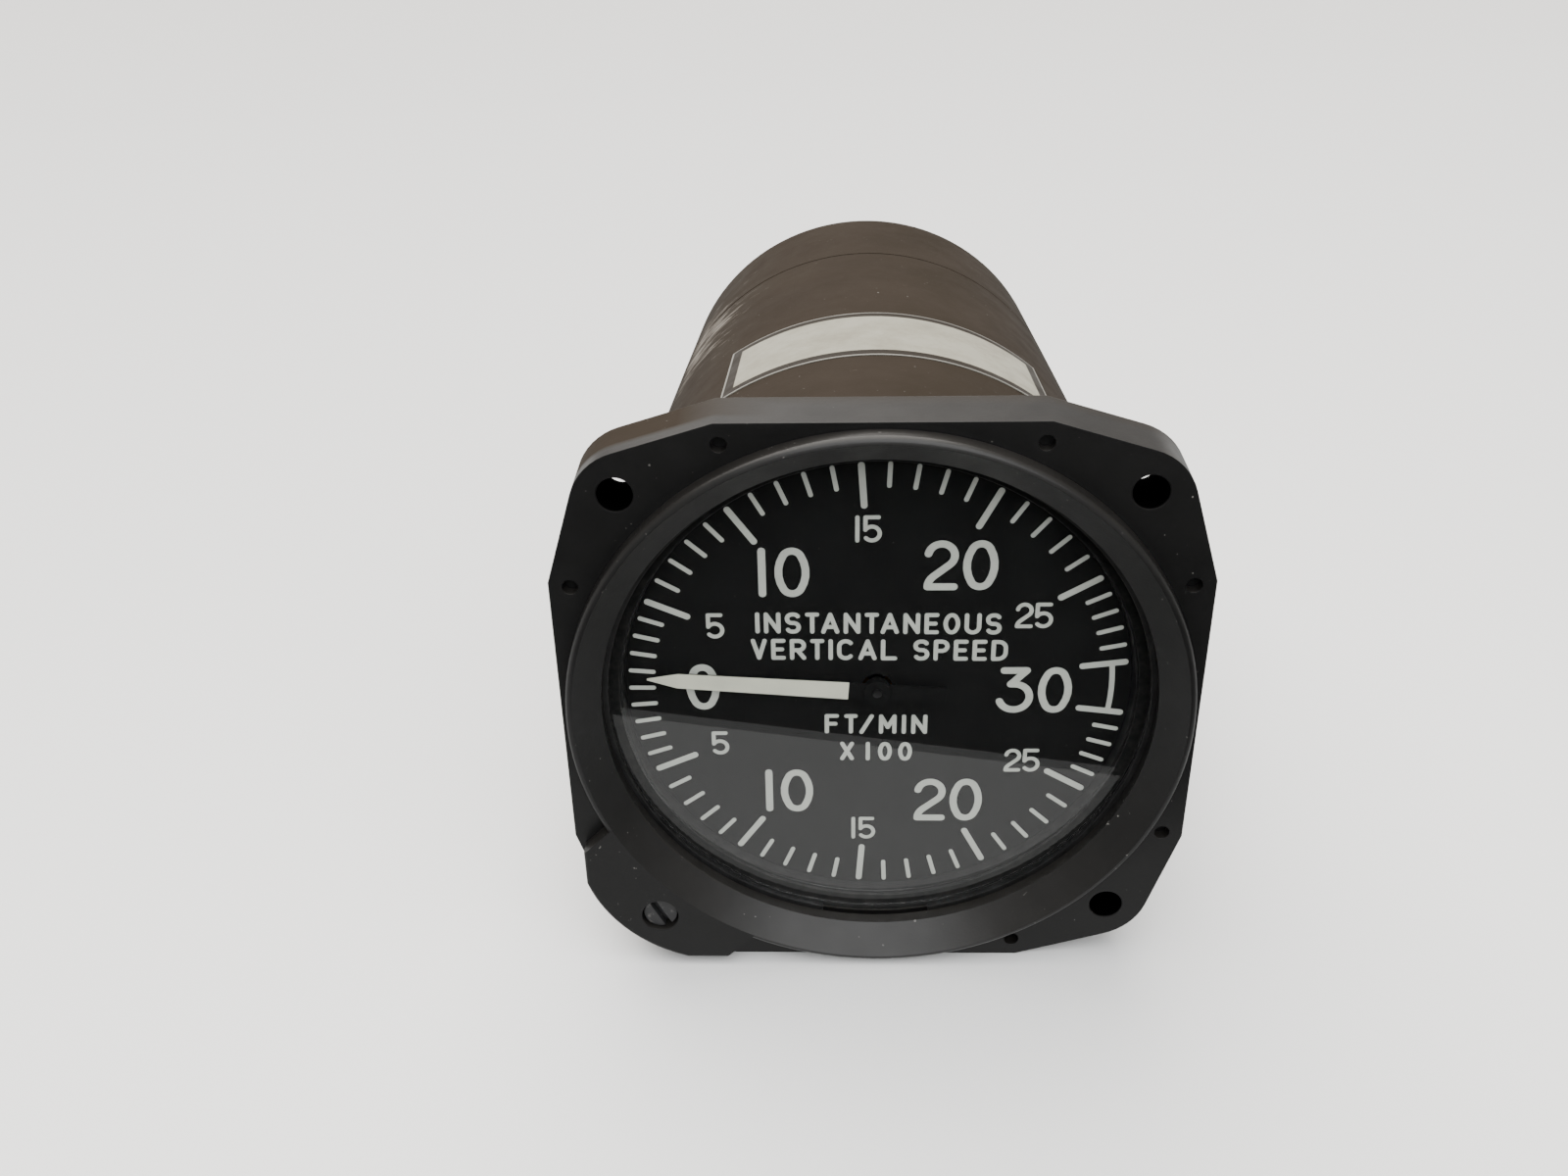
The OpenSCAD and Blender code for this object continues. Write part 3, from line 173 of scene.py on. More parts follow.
# Sizes and colours that a user may change
class FinishSettings(bpy.types.PropertyGroup):
    case_colour: bpy.props.FloatVectorProperty(
        name="Case paint", description="Colour of the satin paint on flange and case",
        default=(0.0062, 0.0061, 0.0061), subtype="COLOR", size=3, min=0, max=1)
    body_colour: bpy.props.FloatVectorProperty(
        name="Body paint", description="Colour of the paint behind the flange, browned by age",
        default=(0.0225, 0.0160, 0.0106), subtype="COLOR", size=3, min=0, max=1)
    dial_colour: bpy.props.FloatVectorProperty(
        name="Dial", description="Colour of the dial face",
        default=(0.0040, 0.0040, 0.0040), subtype="COLOR", size=3, min=0, max=1)
    mark_colour: bpy.props.FloatVectorProperty(
        name="Dial print", description="Colour of the marks, numerals and legend",
        default=(0.57, 0.59, 0.53), subtype="COLOR", size=3, min=0, max=1)
    pointer_colour: bpy.props.FloatVectorProperty(
        name="Pointer", description="Colour of the light coat on the pointer",
        default=(0.71, 0.71, 0.58), subtype="COLOR", size=3, min=0, max=1)
    wear: bpy.props.FloatProperty(
        name="Wear", description="How much bare metal and dust shows on the paint",
        default=1.0, min=0, max=1, subtype="FACTOR")
    edge: bpy.props.FloatProperty(
        name="Small edges", description="Width of the broken edges on turned and stamped parts",
        default=0.12 * MM, min=0, max=0.5 * MM, unit="LENGTH", precision=5)
    flange_edge: bpy.props.FloatProperty(
        name="Flange edge", description="Width of the rounded front edge of the flange",
        default=0.9 * MM, min=0.2 * MM, max=1.2 * MM, unit="LENGTH", precision=5)
    pad_edge: bpy.props.FloatProperty(
        name="Pad edge", description="Width of the rounded edge of the adjuster pad",
        default=0.6 * MM, min=0.1 * MM, max=1.0 * MM, unit="LENGTH", precision=5)


class LetteringSettings(bpy.types.PropertyGroup):
    big_height: bpy.props.FloatProperty(
        name="Large numeral height", description="Height of the large numerals",
        default=7.1 * MM, min=5 * MM, max=9 * MM, unit="LENGTH", precision=5)
    big_pen: bpy.props.FloatProperty(
        name="Large numeral stroke", description="Width of the strokes of the large numerals",
        default=0.98 * MM, min=0.6 * MM, max=1.8 * MM, unit="LENGTH", precision=5)
    small_height: bpy.props.FloatProperty(
        name="Small numeral height", description="Height of the small numerals",
        default=3.75 * MM, min=3 * MM, max=5 * MM, unit="LENGTH", precision=5)
    small_pen: bpy.props.FloatProperty(
        name="Small numeral stroke", description="Width of the strokes of the small numerals",
        default=0.53 * MM, min=0.3 * MM, max=1 * MM, unit="LENGTH", precision=5)
    legend_pen: bpy.props.FloatProperty(
        name="Legend stroke", description="Width of the strokes of the legend",
        default=0.57 * MM, min=0.3 * MM, max=1 * MM, unit="LENGTH", precision=5)
    paint_height: bpy.props.FloatProperty(
        name="Paint height", description="Thickness of the printed strokes",
        default=0.05 * MM, min=0.02 * MM, max=0.1 * MM, unit="LENGTH", precision=5)


class StudioSettings(bpy.types.PropertyGroup):
    floor_level: bpy.props.FloatProperty(
        name="Floor level", description="Height of the floor that the flange stands on",
        default=-FLANGE_HALF, unit="LENGTH", precision=4)
    floor_colour: bpy.props.FloatVectorProperty(
        name="Floor", description="Colour of the plain floor",
        default=(0.88, 0.88, 0.87), subtype="COLOR", size=3, min=0, max=1)
    room_light: bpy.props.FloatProperty(
        name="Room light", description="Strength of the even light from all round",
        default=0.42, min=0, max=3)
    top_light: bpy.props.FloatProperty(
        name="Sky light", description="Strength of the broad soft light from above and behind",
        default=5.6, min=0, max=20)
    front_light: bpy.props.FloatProperty(
        name="Front light", description="Power of the soft lamp above and in front of the instrument",
        default=10.5, min=0, max=50, unit="POWER")


# Node helpers for the finishes
def new_finish(name, **constants):
    """Make a material with one Principled shader whose even values stand on its own sockets."""
    finish = bpy.data.materials.new(name)
    finish.use_nodes = True
    shader = finish.node_tree.nodes["Principled BSDF"]
    for socket, value in constants.items():
        shader.inputs[socket.replace("_", " ")].default_value = value
    return finish, finish.node_tree, shader


def add(tree, kind, inputs=(), **settings):
    """Add a shader node, with its settings and its inputs, which may be sockets or plain values."""
    node = tree.nodes.new("ShaderNode" + kind)
    for name, value in settings.items():
        setattr(node, name, value)
    for key, value in dict(inputs).items():
        if isinstance(value, bpy.types.NodeSocket):
            tree.links.new(value, node.inputs[key])
        else:
            node.inputs[key].default_value = value
    return node


def where(tree):
    """The place on the piece, in metres."""
    return add(tree, "TexCoord").outputs["Object"]


def parts_of(tree, point):
    """The three parts of a point or direction."""
    split = add(tree, "SeparateXYZ", {"Vector": point})
    return split.outputs["X"], split.outputs["Y"], split.outputs["Z"]


def calc(tree, operation, a, b=0.0, clamp=False):
    """One step of arithmetic on sockets or plain values."""
    return add(tree, "Math", {0: a, 1: b}, operation=operation, use_clamp=clamp).outputs[0]


def times(tree, a, b):
    return calc(tree, "MULTIPLY", a, b)


def plus(tree, a, b):
    return calc(tree, "ADD", a, b)


def reach(tree, a, b):
    """How far a point lies from an axis, from its two distances beside it."""
    return calc(tree, "SQRT", plus(tree, times(tree, a, a), times(tree, b, b)))


def grain(tree, point, size, detail=3.0, rough=0.55, stretch=(1, 1, 1), offset=(0, 0, 0)):
    """Noise from 0 to 1 whose features are about size metres across."""
    moved = add(tree, "Mapping", {"Vector": point, "Location": offset, "Scale": stretch})
    return add(tree, "TexNoise", {
        "Vector": moved.outputs["Vector"], "Scale": 1 / size, "Detail": detail, "Roughness": rough,
    }).outputs["Fac"]


def level(tree, value, low, high, out_low=0.0, out_high=1.0):
    """Map a value from one span to another, held at its ends."""
    return add(tree, "MapRange", {
        "Value": value, "From Min": low, "From Max": high, "To Min": out_low, "To Max": out_high,
    }, clamp=True).outputs["Result"]


def band(tree, value, low, high, soft):
    """1 between low and high, 0 outside, with soft borders."""
    rise = level(tree, value, low - soft, low + soft)
    fall = level(tree, value, high - soft, high + soft, 1.0, 0.0)
    return times(tree, rise, fall)


def mix(tree, factor, a, b):
    """Blend two colours, given as sockets or as three numbers."""
    full = [c if isinstance(c, bpy.types.NodeSocket) else (*c, 1.0) for c in (a, b)]
    return add(tree, "Mix", {0: factor, 6: full[0], 7: full[1]}, data_type="RGBA").outputs[2]


def relief(tree, shader, height, depth, strength=1.0):
    """Let a height pattern tilt the surface's normal."""
    bump = add(tree, "Bump", {"Height": height, "Distance": depth, "Strength": strength})
    tree.links.new(bump.outputs["Normal"], shader.inputs["Normal"])


def shade(colour, factor):
    """A colour made darker or lighter by a factor."""
    return tuple(min(1.0, c * factor) for c in colour)


# Finishes
def satin_case_paint(settings):
    """Old satin paint: neutral on the flange, browner behind it, with dust, rubs and bare spots, and
    painted shade inside the mounting holes.
    """
    finish, tree, shader = new_finish("satin_case_paint")
    point = where(tree)
    x, y, z = parts_of(tree, point)

    # Brown with age behind the flange and on its left side, but not in its blind holes or its bore
    age = level(tree, y, 5 * MM, 11 * MM)
    left = level(tree, x, -24 * MM, -12 * MM, 1.0, 0.0)
    deep = level(tree, y, DIMPLE_DEPTH + 0.05 * MM, DIMPLE_DEPTH + 1.3 * MM)
    outer = level(tree, reach(tree, x, z), 37 * MM, 38 * MM)
    age = calc(tree, "MAXIMUM", age, times(tree, times(tree, left, deep), outer))
    cloud = grain(tree, point, 14 * MM, 4, 0.6)
    base = mix(tree, age, settings.case_colour, settings.body_colour)
    darker = mix(tree, age, shade(settings.case_colour, 0.80), shade(settings.body_colour, 0.94))
    colour = mix(tree, level(tree, cloud, 0.35, 0.65), darker, base)

    # Dust settles as fine pale points, thicker on what faces up
    facing = parts_of(tree, add(tree, "NewGeometry").outputs["Normal"])[2]
    specks = level(tree, grain(tree, point, 0.55 * MM, 1, 0.4, offset=(3, 1, 2)), 0.765, 0.80)
    patch = level(tree, grain(tree, point, 9 * MM, 2), 0.46, 0.62)
    specks = times(tree, specks, times(tree, patch, 0.5 * settings.wear))
    colour = mix(tree, specks, colour, DUST)
    film = times(tree, level(tree, facing, 0.1, 1.0), level(tree, cloud, 0.35, 0.75, 0.18, 0.28))
    colour = mix(tree, times(tree, film, 0.35 * settings.wear), colour, DUST_FILM)

    # Rubbed through to the metal beside the seam on the left, in short strokes round the case
    turn = calc(tree, "ARCTAN2", x, z)
    side = band(tree, turn, math.radians(-64), math.radians(-36), math.radians(9))
    along = band(tree, y, 58 * MM, 93 * MM, 12 * MM)
    around = add(tree, "CombineXYZ", {"X": times(tree, turn, 7 * MM), "Y": y}).outputs["Vector"]
    strokes = grain(tree, around, 1.5 * MM, 6, 0.72)
    worn = times(tree, times(tree, side, along), 0.21 * settings.wear)
    rub = level(tree, plus(tree, strokes, worn), 0.67, 0.78)
    rub = times(tree, rub, level(tree, y, 10 * MM, 20 * MM, 0.0, 0.5))
    colour = mix(tree, rub, colour, BARE_METAL)

    # Grime in the seam
    seam = band(tree, y, SEAM - 0.22 * MM, SEAM + 0.22 * MM, 0.05 * MM)
    colour = mix(tree, times(tree, seam, 0.95), colour, GRIME)

    # Painted shade: dead black with no shine inside the mounting holes, but not round the zero screw, which
    # has the fourth corner
    off = [calc(tree, "SUBTRACT", calc(tree, "ABSOLUTE", v), HOLE_OFFSET) for v in (x, z)]
    outside = level(tree, reach(tree, *off), HOLE_RADIUS + 0.01 * MM, HOLE_RADIUS + 0.15 * MM)
    pad = [level(tree, v, PAD_CORNER - 1 * MM, PAD_CORNER, 1.0, 0.0) for v in (x, z)]
    outside = calc(tree, "MAXIMUM", outside, times(tree, *pad))
    colour = mix(tree, outside, HOLE_SHADE, colour)
    tree.links.new(colour, shader.inputs["Base Color"])
    shine = times(tree, level(tree, age, 0, 1, 0.31, 0.02), outside)
    tree.links.new(shine, shader.inputs["Specular IOR Level"])

    skin = grain(tree, point, 0.35 * MM, 2, 0.5)
    gloss = level(tree, grain(tree, point, 5 * MM, 4, 0.6), 0.3, 0.7, 0.31, 0.40)
    gloss = calc(tree, "ADD", gloss, times(tree, age, 0.18), True)
    tree.links.new(gloss, shader.inputs["Roughness"])
    height = calc(tree, "SUBTRACT", skin, times(tree, rub, 0.8))
    relief(tree, shader, height, 0.03 * MM, 0.35)
    return finish


def trim_black(settings):
    """Smoother semi-gloss black on the window's rings and the blade."""
    finish, tree, shader = new_finish("trim_black")
    point = where(tree)
    mottle = grain(tree, point, 2.5 * MM, 4, 0.6)
    dark, light = (shade(settings.dial_colour, factor) for factor in (0.8, 1.7))
    colour = mix(tree, level(tree, mottle, 0.35, 0.7), dark, light)
    tree.links.new(colour, shader.inputs["Base Color"])
    tree.links.new(level(tree, mottle, 0.3, 0.7, 0.34, 0.48), shader.inputs["Roughness"])
    relief(tree, shader, grain(tree, point, 0.25 * MM, 2), 0.015 * MM, 0.1)
    return finish


def oxide_black():
    """Blackened steel whose high spots are rubbed to metal."""
    finish, tree, shader = new_finish("oxide_black")
    point = where(tree)
    rub = level(tree, grain(tree, point, 0.9 * MM, 5, 0.7), 0.58, 0.70)
    colour = mix(tree, rub, (0.016, 0.016, 0.017), (0.13, 0.125, 0.12))
    tree.links.new(colour, shader.inputs["Base Color"])
    tree.links.new(level(tree, rub, 0.0, 1.0, 0.0, 0.7), shader.inputs["Metallic"])
    tree.links.new(level(tree, rub, 0.0, 1.0, 0.46, 0.34), shader.inputs["Roughness"])
    relief(tree, shader, grain(tree, point, 0.2 * MM, 2), 0.015 * MM, 0.4)
    return finish


def dial_face(settings):
    """Dead matte dial lacquer with a fine, uneven grain."""
    finish, tree, shader = new_finish("dial_face", Specular_IOR_Level=0.16)
    point = where(tree)
    cloud = grain(tree, point, 11 * MM, 3)
    fine = grain(tree, point, 0.12 * MM, 2)
    tone = plus(tree, times(tree, cloud, 0.6), times(tree, fine, 0.4))
    dark, light = (shade(settings.dial_colour, factor) for factor in (0.75, 1.35))
    colour = mix(tree, level(tree, tone, 0.38, 0.62), dark, light)
    lint = level(tree, grain(tree, point, 0.4 * MM, 1, 0.4, offset=(7, 2, 5)), 0.775, 0.80)
    colour = mix(tree, times(tree, lint, 0.2 * settings.wear), colour, (0.2, 0.2, 0.19))
    tree.links.new(colour, shader.inputs["Base Color"])
    tree.links.new(level(tree, fine, 0.3, 0.7, 0.62, 0.80), shader.inputs["Roughness"])
    relief(tree, shader, fine, 0.012 * MM, 0.5)
    return finish


def screen_paint(name, colour, thin):
    """Thick printed or brushed paint, a little yellowed and thin in places."""
    finish, tree, shader = new_finish(name, Specular_IOR_Level=0.35)
    point = where(tree)
    cloud = grain(tree, point, 3.5 * MM, 4, 0.6)
    fine = grain(tree, point, 0.16 * MM, 3, 0.6)
    base = mix(tree, level(tree, cloud, 0.3, 0.7), shade(colour, 0.90), colour)
    worn = level(tree, fine, 0.60, 0.74, 0.0, thin)
    tree.links.new(mix(tree, worn, base, shade(colour, 0.55)), shader.inputs["Base Color"])
    tree.links.new(level(tree, fine, 0.3, 0.7, 0.55, 0.70), shader.inputs["Roughness"])
    relief(tree, shader, fine, 0.02 * MM, 0.5)
    return finish


def window_glass():
    """Clear flat glass with a light film of dust, which lets the lamps through to the dial."""
    finish, tree, shader = new_finish(
        "window_glass", Transmission_Weight=1.0, IOR=1.5, Base_Color=(1, 1, 1, 1))
    point = where(tree)
    film = grain(tree, point, 6 * MM, 5, 0.65)
    tree.links.new(level(tree, film, 0.45, 0.80, 0.0, 0.02), shader.inputs["Roughness"])
    clear = add(tree, "BsdfTransparent", {"Color": (0.93, 0.94, 0.93, 1)})
    shadow = add(tree, "LightPath").outputs["Is Shadow Ray"]
    both = add(tree, "MixShader", {0: shadow, 1: shader.outputs["BSDF"], 2: clear.outputs["BSDF"]})
    tree.links.new(both.outputs["Shader"], tree.nodes["Material Output"].inputs["Surface"])
    return finish


def soft_rubber():
    """Matte rubber with bloom."""
    finish, tree, shader = new_finish("soft_rubber", Specular_IOR_Level=0.3)
    point = where(tree)
    bloom = grain(tree, point, 1.2 * MM, 4, 0.65)
    colour = mix(tree, level(tree, bloom, 0.4, 0.75), (0.012, 0.012, 0.012), (0.038, 0.036, 0.034))
    tree.links.new(colour, shader.inputs["Base Color"])
    tree.links.new(level(tree, bloom, 0.3, 0.7, 0.72, 0.9), shader.inputs["Roughness"])
    relief(tree, shader, grain(tree, point, 0.12 * MM, 2), 0.02 * MM, 0.4)
    return finish


def turned_metal(name, colours, gloss, lathe, stain):
    """Turned or ground metal: tool lines round the instrument's axis, cloudy stain and scratches."""
    finish, tree, shader = new_finish(name, Metallic=1.0)
    point = where(tree)
    x, y, z = parts_of(tree, point)
    outward = plus(tree, reach(tree, x, z), times(tree, y, 0.6))
    rings = add(tree, "TexNoise", {"W": outward, "Scale": 1 / (0.09 * MM), "Detail": 2.0},
                noise_dimensions="1D").outputs["Fac"]
    cloud = grain(tree, point, 4 * MM, 5, 0.65)
    scratch = grain(tree, point, 0.5 * MM, 3, 0.7, stretch=(1, 0.08, 1))
    tone = mix(tree, level(tree, cloud, 0.35, 0.7), colours[0], colours[1])
    tone = mix(tree, level(tree, scratch, 0.55, 0.72, 0.0, stain), tone, colours[2])
    tree.links.new(tone, shader.inputs["Base Color"])
    rough = level(tree, plus(tree, rings, cloud), 0.7, 1.3, gloss - 0.06, gloss + 0.08)
    tree.links.new(rough, shader.inputs["Roughness"])
    relief(tree, shader, plus(tree, rings, times(tree, scratch, 0.5)), lathe, 0.35)
    return finish


def blank_plate():
    """Blank foil plate: a silver line, a black frame and a bare off-white field, a little dirty."""
    finish, tree, shader = new_finish("blank_plate", Specular_IOR_Level=0.12)
    point = where(tree)
    x, y, z = parts_of(tree, point)
    low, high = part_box("nameplate")
    turn = calc(tree, "ARCTAN2", x, z)
    wobble = times(tree, calc(tree, "SUBTRACT", grain(tree, point, 0.5 * MM, 2), 0.5), 0.12 * MM)
    depth = plus(tree, y, wobble)

    def within(front, back, left, right):
        """1 on the part of the plate that lies further in than these margins, in metres and degrees."""
        along = band(tree, depth, low.y + front, high.y - back, 0.04 * MM)
        round_case = band(tree, turn, PLATE_LEFT + math.radians(left), PLATE_RIGHT - math.radians(right),
                          math.radians(0.08))
        return times(tree, along, round_case)

    field = within(2.1 * MM, 1.9 * MM, 3.0, 3.1)
    inner = within(0.3 * MM, 0.3 * MM, 0.5, 0.5)
    stain = grain(tree, point, 5 * MM, 5, 0.65)
    fine = grain(tree, point, 0.35 * MM, 4, 0.7)
    paper = mix(tree, level(tree, stain, 0.40, 0.72), (0.325, 0.31, 0.25), (0.25, 0.235, 0.185))
    paper = mix(tree, level(tree, fine, 0.62, 0.70, 0.0, 0.55), paper, DUST)
    black = mix(tree, level(tree, fine, 0.64, 0.74, 0.0, 0.5), (0.019, 0.014, 0.009), (0.10, 0.095, 0.085))
    silver = (0.30, 0.29, 0.26)
    colour = mix(tree, inner, silver, mix(tree, field, black, paper))
    tree.links.new(colour, shader.inputs["Base Color"])
    tree.links.new(level(tree, inner, 0.0, 1.0, 0.5, 0.0), shader.inputs["Metallic"])
    tree.links.new(level(tree, stain, 0.3, 0.7, 0.34, 0.52), shader.inputs["Roughness"])
    relief(tree, shader, plus(tree, fine, times(tree, stain, 2.0)), 0.03 * MM, 0.3)
    return finish


def studio_floor(settings):
    """Plain pale floor with a barely seen grain."""
    finish, tree, shader = new_finish("studio_floor", Specular_IOR_Level=0.2, Roughness=0.7)
    cloud = grain(tree, where(tree), 120 * MM, 3)
    colour = mix(tree, cloud, shade(settings.floor_colour, 0.985), settings.floor_colour)
    tree.links.new(colour, shader.inputs["Base Color"])
    return finish


def glowing_card(name, grey):
    """A sheet that glows an even grey with no shadow on it, like a far wall: painted light, seen only in
    reflections.
    """
    return new_finish(
        name, Base_Color=(0, 0, 0, 1), Roughness=0.9, Specular_IOR_Level=0.0,
        Emission_Color=(1, 1, 0.985, 1), Emission_Strength=grey)[0]


FINISHES = {}


def make_finishes(settings):
    """Make every finish once, by the name of the record's material slot or of the piece."""
    FINISHES.update({
        "case_paint": satin_case_paint(settings),
        "dark_trim": trim_black(settings),
        "oxide": oxide_black(),
        "dial_black": dial_face(settings),
        "mark_white": screen_paint("dial_print", tuple(settings.mark_colour), 0.35),
        "pointer_cream": screen_paint("pointer_coat", tuple(settings.pointer_colour), 0.20),
        "glass": window_glass(),
        "rubber": soft_rubber(),
    })
    for slot, values in METALS.items():
        FINISHES[slot] = turned_metal(*values)
    FINISHES["label"] = blank_plate()


# Mesh helpers
def cad_copy(node):
    """A welded copy of a CAD node whose flat faces are whole again."""
    bm = bmesh.new()
    bm.from_mesh(frame["nodes"][node].data)
    bmesh.ops.remove_doubles(bm, verts=bm.verts, dist=WELD)
    bmesh.ops.dissolve_degenerate(bm, edges=bm.edges, dist=WELD)
    bmesh.ops.dissolve_limit(bm, angle_limit=FLAT, verts=bm.verts, edges=bm.edges, delimit={"NORMAL"})
    return bm


def break_edges(bm, width, pick, segments=2, turn=40):
    """Round the outward edges that turn by more than the given angle and that pick accepts."""
    least = math.radians(turn)
    chosen = [e for e in bm.edges
              if e.is_manifold and e.is_convex and e.calc_face_angle() > least and pick(e)]
    if chosen and width > 0:
        bmesh.ops.bevel(bm, geom=chosen, offset=width, offset_type="OFFSET", segments=segments, profile=0.5,
                        affect="EDGES", clamp_overlap=True, material=-1)


def smooth_below(bm, degrees):
    """Shade smoothly, with a hard line where faces meet at more than the given angle."""
    least = math.radians(degrees)
    for face in bm.faces:
        face.smooth = True
    for edge in bm.edges:
        edge.smooth = edge.is_manifold and edge.calc_face_angle() < least


def add_piece(name, bm, slot, body, finish=None, stands_for=(), even=True, bend=None):
    """Turn a finished bmesh into a piece that rides on its body, or, when bend is given, one that is baked
    in place with no parent.
    """
    mesh = bpy.data.meshes.new(name)
    bm.to_mesh(mesh)
    bm.free()
    mesh.materials.append(finish or FINISHES[slot])
    piece = bpy.data.objects.new(name, mesh)
    bpy.context.scene.collection.objects.link(piece)
    if even:
        weight = piece.modifiers.new("even_shading", "WEIGHTED_NORMAL")
        weight.keep_sharp = True
        weight.weight = 80
    if bend:
        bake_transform(piece)
    else:
        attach(piece, body)
    if stands_for:
        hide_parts(*stands_for)
    return piece


def dress(node, slot, edge, finish=None, name=None, degrees=38, bend=None):
    """Stand a welded copy with broken edges in for a CAD node."""
    bm = cad_copy(node)
    break_edges(bm, edge, lambda e: True)
    smooth_below(bm, degrees)
    body = frame["nodes"][node]["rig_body"]
    return add_piece(name or node + "_finished", bm, slot, body, finish, (node,), bend=bend)


def upwards(node, body):
    """The other body, with the middles of an elastic piece's foot and top."""
    low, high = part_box(node)
    middle = (low + high) / 2
    return body, (middle.x, middle.y, low.z), (middle.x, middle.y, high.z)


# Strokes of the dial lettering, in a box w wide and h high measured between the strokes' middles. A path
# starts at a corner and goes on with "to" a corner, or "arc" round a middle by an angle in degrees
def oval(w, h):
    """Closed oval of four arcs that meet smoothly."""
    end = 0.36 * w
    rise = h / 2 - end
    side = (w * w / 4 + rise * rise - end * end) / (w - 2 * end)
    turn = math.degrees(math.atan2(rise, side - w / 2))
    start = (w - side + side * math.cos(math.radians(turn)), h / 2 - side * math.sin(math.radians(turn)))
    return [start,
            ("arc", w - side, h / 2, 2 * turn),
            ("arc", w / 2, h - end, 180 - 2 * turn),
            ("arc", side, h / 2, 2 * turn),
            ("arc", w / 2, end, 180 - 2 * turn)]


def two(w, h):
    """An open bow, a neck that sweeps down to the left, and a flat foot."""
    lean = math.radians(50)
    r = w / 2
    foot = ((h - r) * math.sin(lean) - r * (1 + math.cos(lean))) / (1 - math.cos(lean))
    knee = (foot * (1 - math.cos(lean)), foot * math.sin(lean))
    start = (r + r * math.cos(math.radians(170)), h - r + r * math.sin(math.radians(170)))
    return [[start, ("arc", r, h - r, -220), ("to", *knee), ("arc", foot, 0, 50), ("to", w, 0)]]


def three(w, h):
    """A flat top, a slanting stroke and a round bowl."""
    r = 0.52 * w
    return [[(0.10 * w, h), ("to", 0.86 * w, h), ("to", 0.34 * w, 2 * r), ("to", w - r, 2 * r),
             ("arc", w - r, r, -250)]]


def five(w, h):
    """A flat top, a short slanting back and a round bowl."""
    r = 0.30 * h
    start = math.radians(148)
    joint = (w - r + r * math.cos(start), r + r * math.sin(start))
    return [[(0.90 * w, h), ("to", joint[0], h), ("to", *joint), ("arc", w - r, r, -288)]]


def letter_s(w, h):
    """Two half rings joined by a straight middle."""
    r = h / 4
    side = math.radians(35)
    start = (w - r + r * math.cos(side), h - r + r * math.sin(side))
    return [[start, ("arc", w - r, h - r, 55), ("to", r, h), ("arc", r, h - r, 180), ("to", w - r, h / 2),
             ("arc", w - r, r, -180), ("to", r, 0), ("arc", r, r, -55)]]


def letter_c(w, h):
    """Two arcs joined by a straight back."""
    r = w / 2
    side = math.radians(40)
    start = (r + r * math.cos(side), h - r + r * math.sin(side))
    return [[start, ("arc", r, h - r, 140), ("to", 0, r), ("arc", r, r, 140)]]


def bowl(w, h):
    """The stem and closed loop that P and R share."""
    r = 0.27 * h
    return [(0, 0), ("to", 0, h), ("to", w - r, h), ("arc", w - r, h - r, -180), ("to", 0, h - 2 * r)]


def letter_d(w, h):
    """A stem and one large bow with a straight middle."""
    r = min(0.6 * w, h / 2)
    return [[(0, 0), ("to", 0, h), ("to", w - r, h), ("arc", w - r, h - r, -90), ("to", w, r),
             ("arc", w - r, r, -90), ("to", 0, 0)]]


# Each glyph: its width as a share of its height, and its strokes
GLYPHS = {
    "0": (0.625, lambda w, h: [oval(w, h)]),
    "1": (0.0, lambda w, h: [[(0, 0), ("to", 0, h)]]),
    "2": (0.605, two),
    "3": (0.68, three),
    "5": (0.58, five),
    "/": (0.62, lambda w, h: [[(0, -0.02 * h), ("to", w, h)]]),
    "A": (0.75, lambda w, h: [[(0, 0), ("to", w / 2, h), ("to", w, 0)],
                              [(0.2 * w, 0.28 * h), ("to", 0.8 * w, 0.28 * h)]]),
    "C": (0.71, letter_c),
    "D": (0.68, letter_d),
    "E": (0.60, lambda w, h: [[(w, h), ("to", 0, h), ("to", 0, 0), ("to", w, 0)],
                              [(0, h / 2), ("to", 0.85 * w, h / 2)]]),
    "F": (0.62, lambda w, h: [[(w, h), ("to", 0, h), ("to", 0, 0)],
                              [(0, h / 2), ("to", 0.85 * w, h / 2)]]),
    "I": (0.0, lambda w, h: [[(0, 0), ("to", 0, h)]]),
    "L": (0.67, lambda w, h: [[(0, h), ("to", 0, 0), ("to", w, 0)]]),
    "M": (0.76, lambda w, h: [[(0, 0), ("to", 0, h), ("to", w / 2, 0.3 * h), ("to", w, h), ("to", w, 0)]]),
    "N": (0.69, lambda w, h: [[(0, 0), ("to", 0, h), ("to", w, 0), ("to", w, h)]]),
    "O": (0.69, lambda w, h: [oval(w, h)]),
    "P": (0.65, lambda w, h: [bowl(w, h)]),
    "R": (0.67, lambda w, h: [bowl(w, h), [(0.45 * w, 0.46 * h), ("to", w, 0)]]),
    "S": (0.66, letter_s),
    "T": (0.58, lambda w, h: [[(0, h), ("to", w, h)], [(w / 2, h), ("to", w / 2, 0)]]),
    "U": (0.69, lambda w, h: [[(0, h), ("to", 0, w / 2), ("arc", w / 2, w / 2, 180), ("to", w, h)]]),
    "V": (0.66, lambda w, h: [[(0, h), ("to", w / 2, 0), ("to", w, h)]]),
    "X": (0.62, lambda w, h: [[(0, 0), ("to", w, h)], [(0, h), ("to", w, 0)]]),
    " ": (0.32, lambda w, h: []),
}


def holds(ring, spot):
    """Whether a convex ring of corners, counter-clockwise, holds a spot."""
    return all((b - a).cross(spot - a) >= 0 for a, b in zip(ring, ring[1:] + ring[:1]))


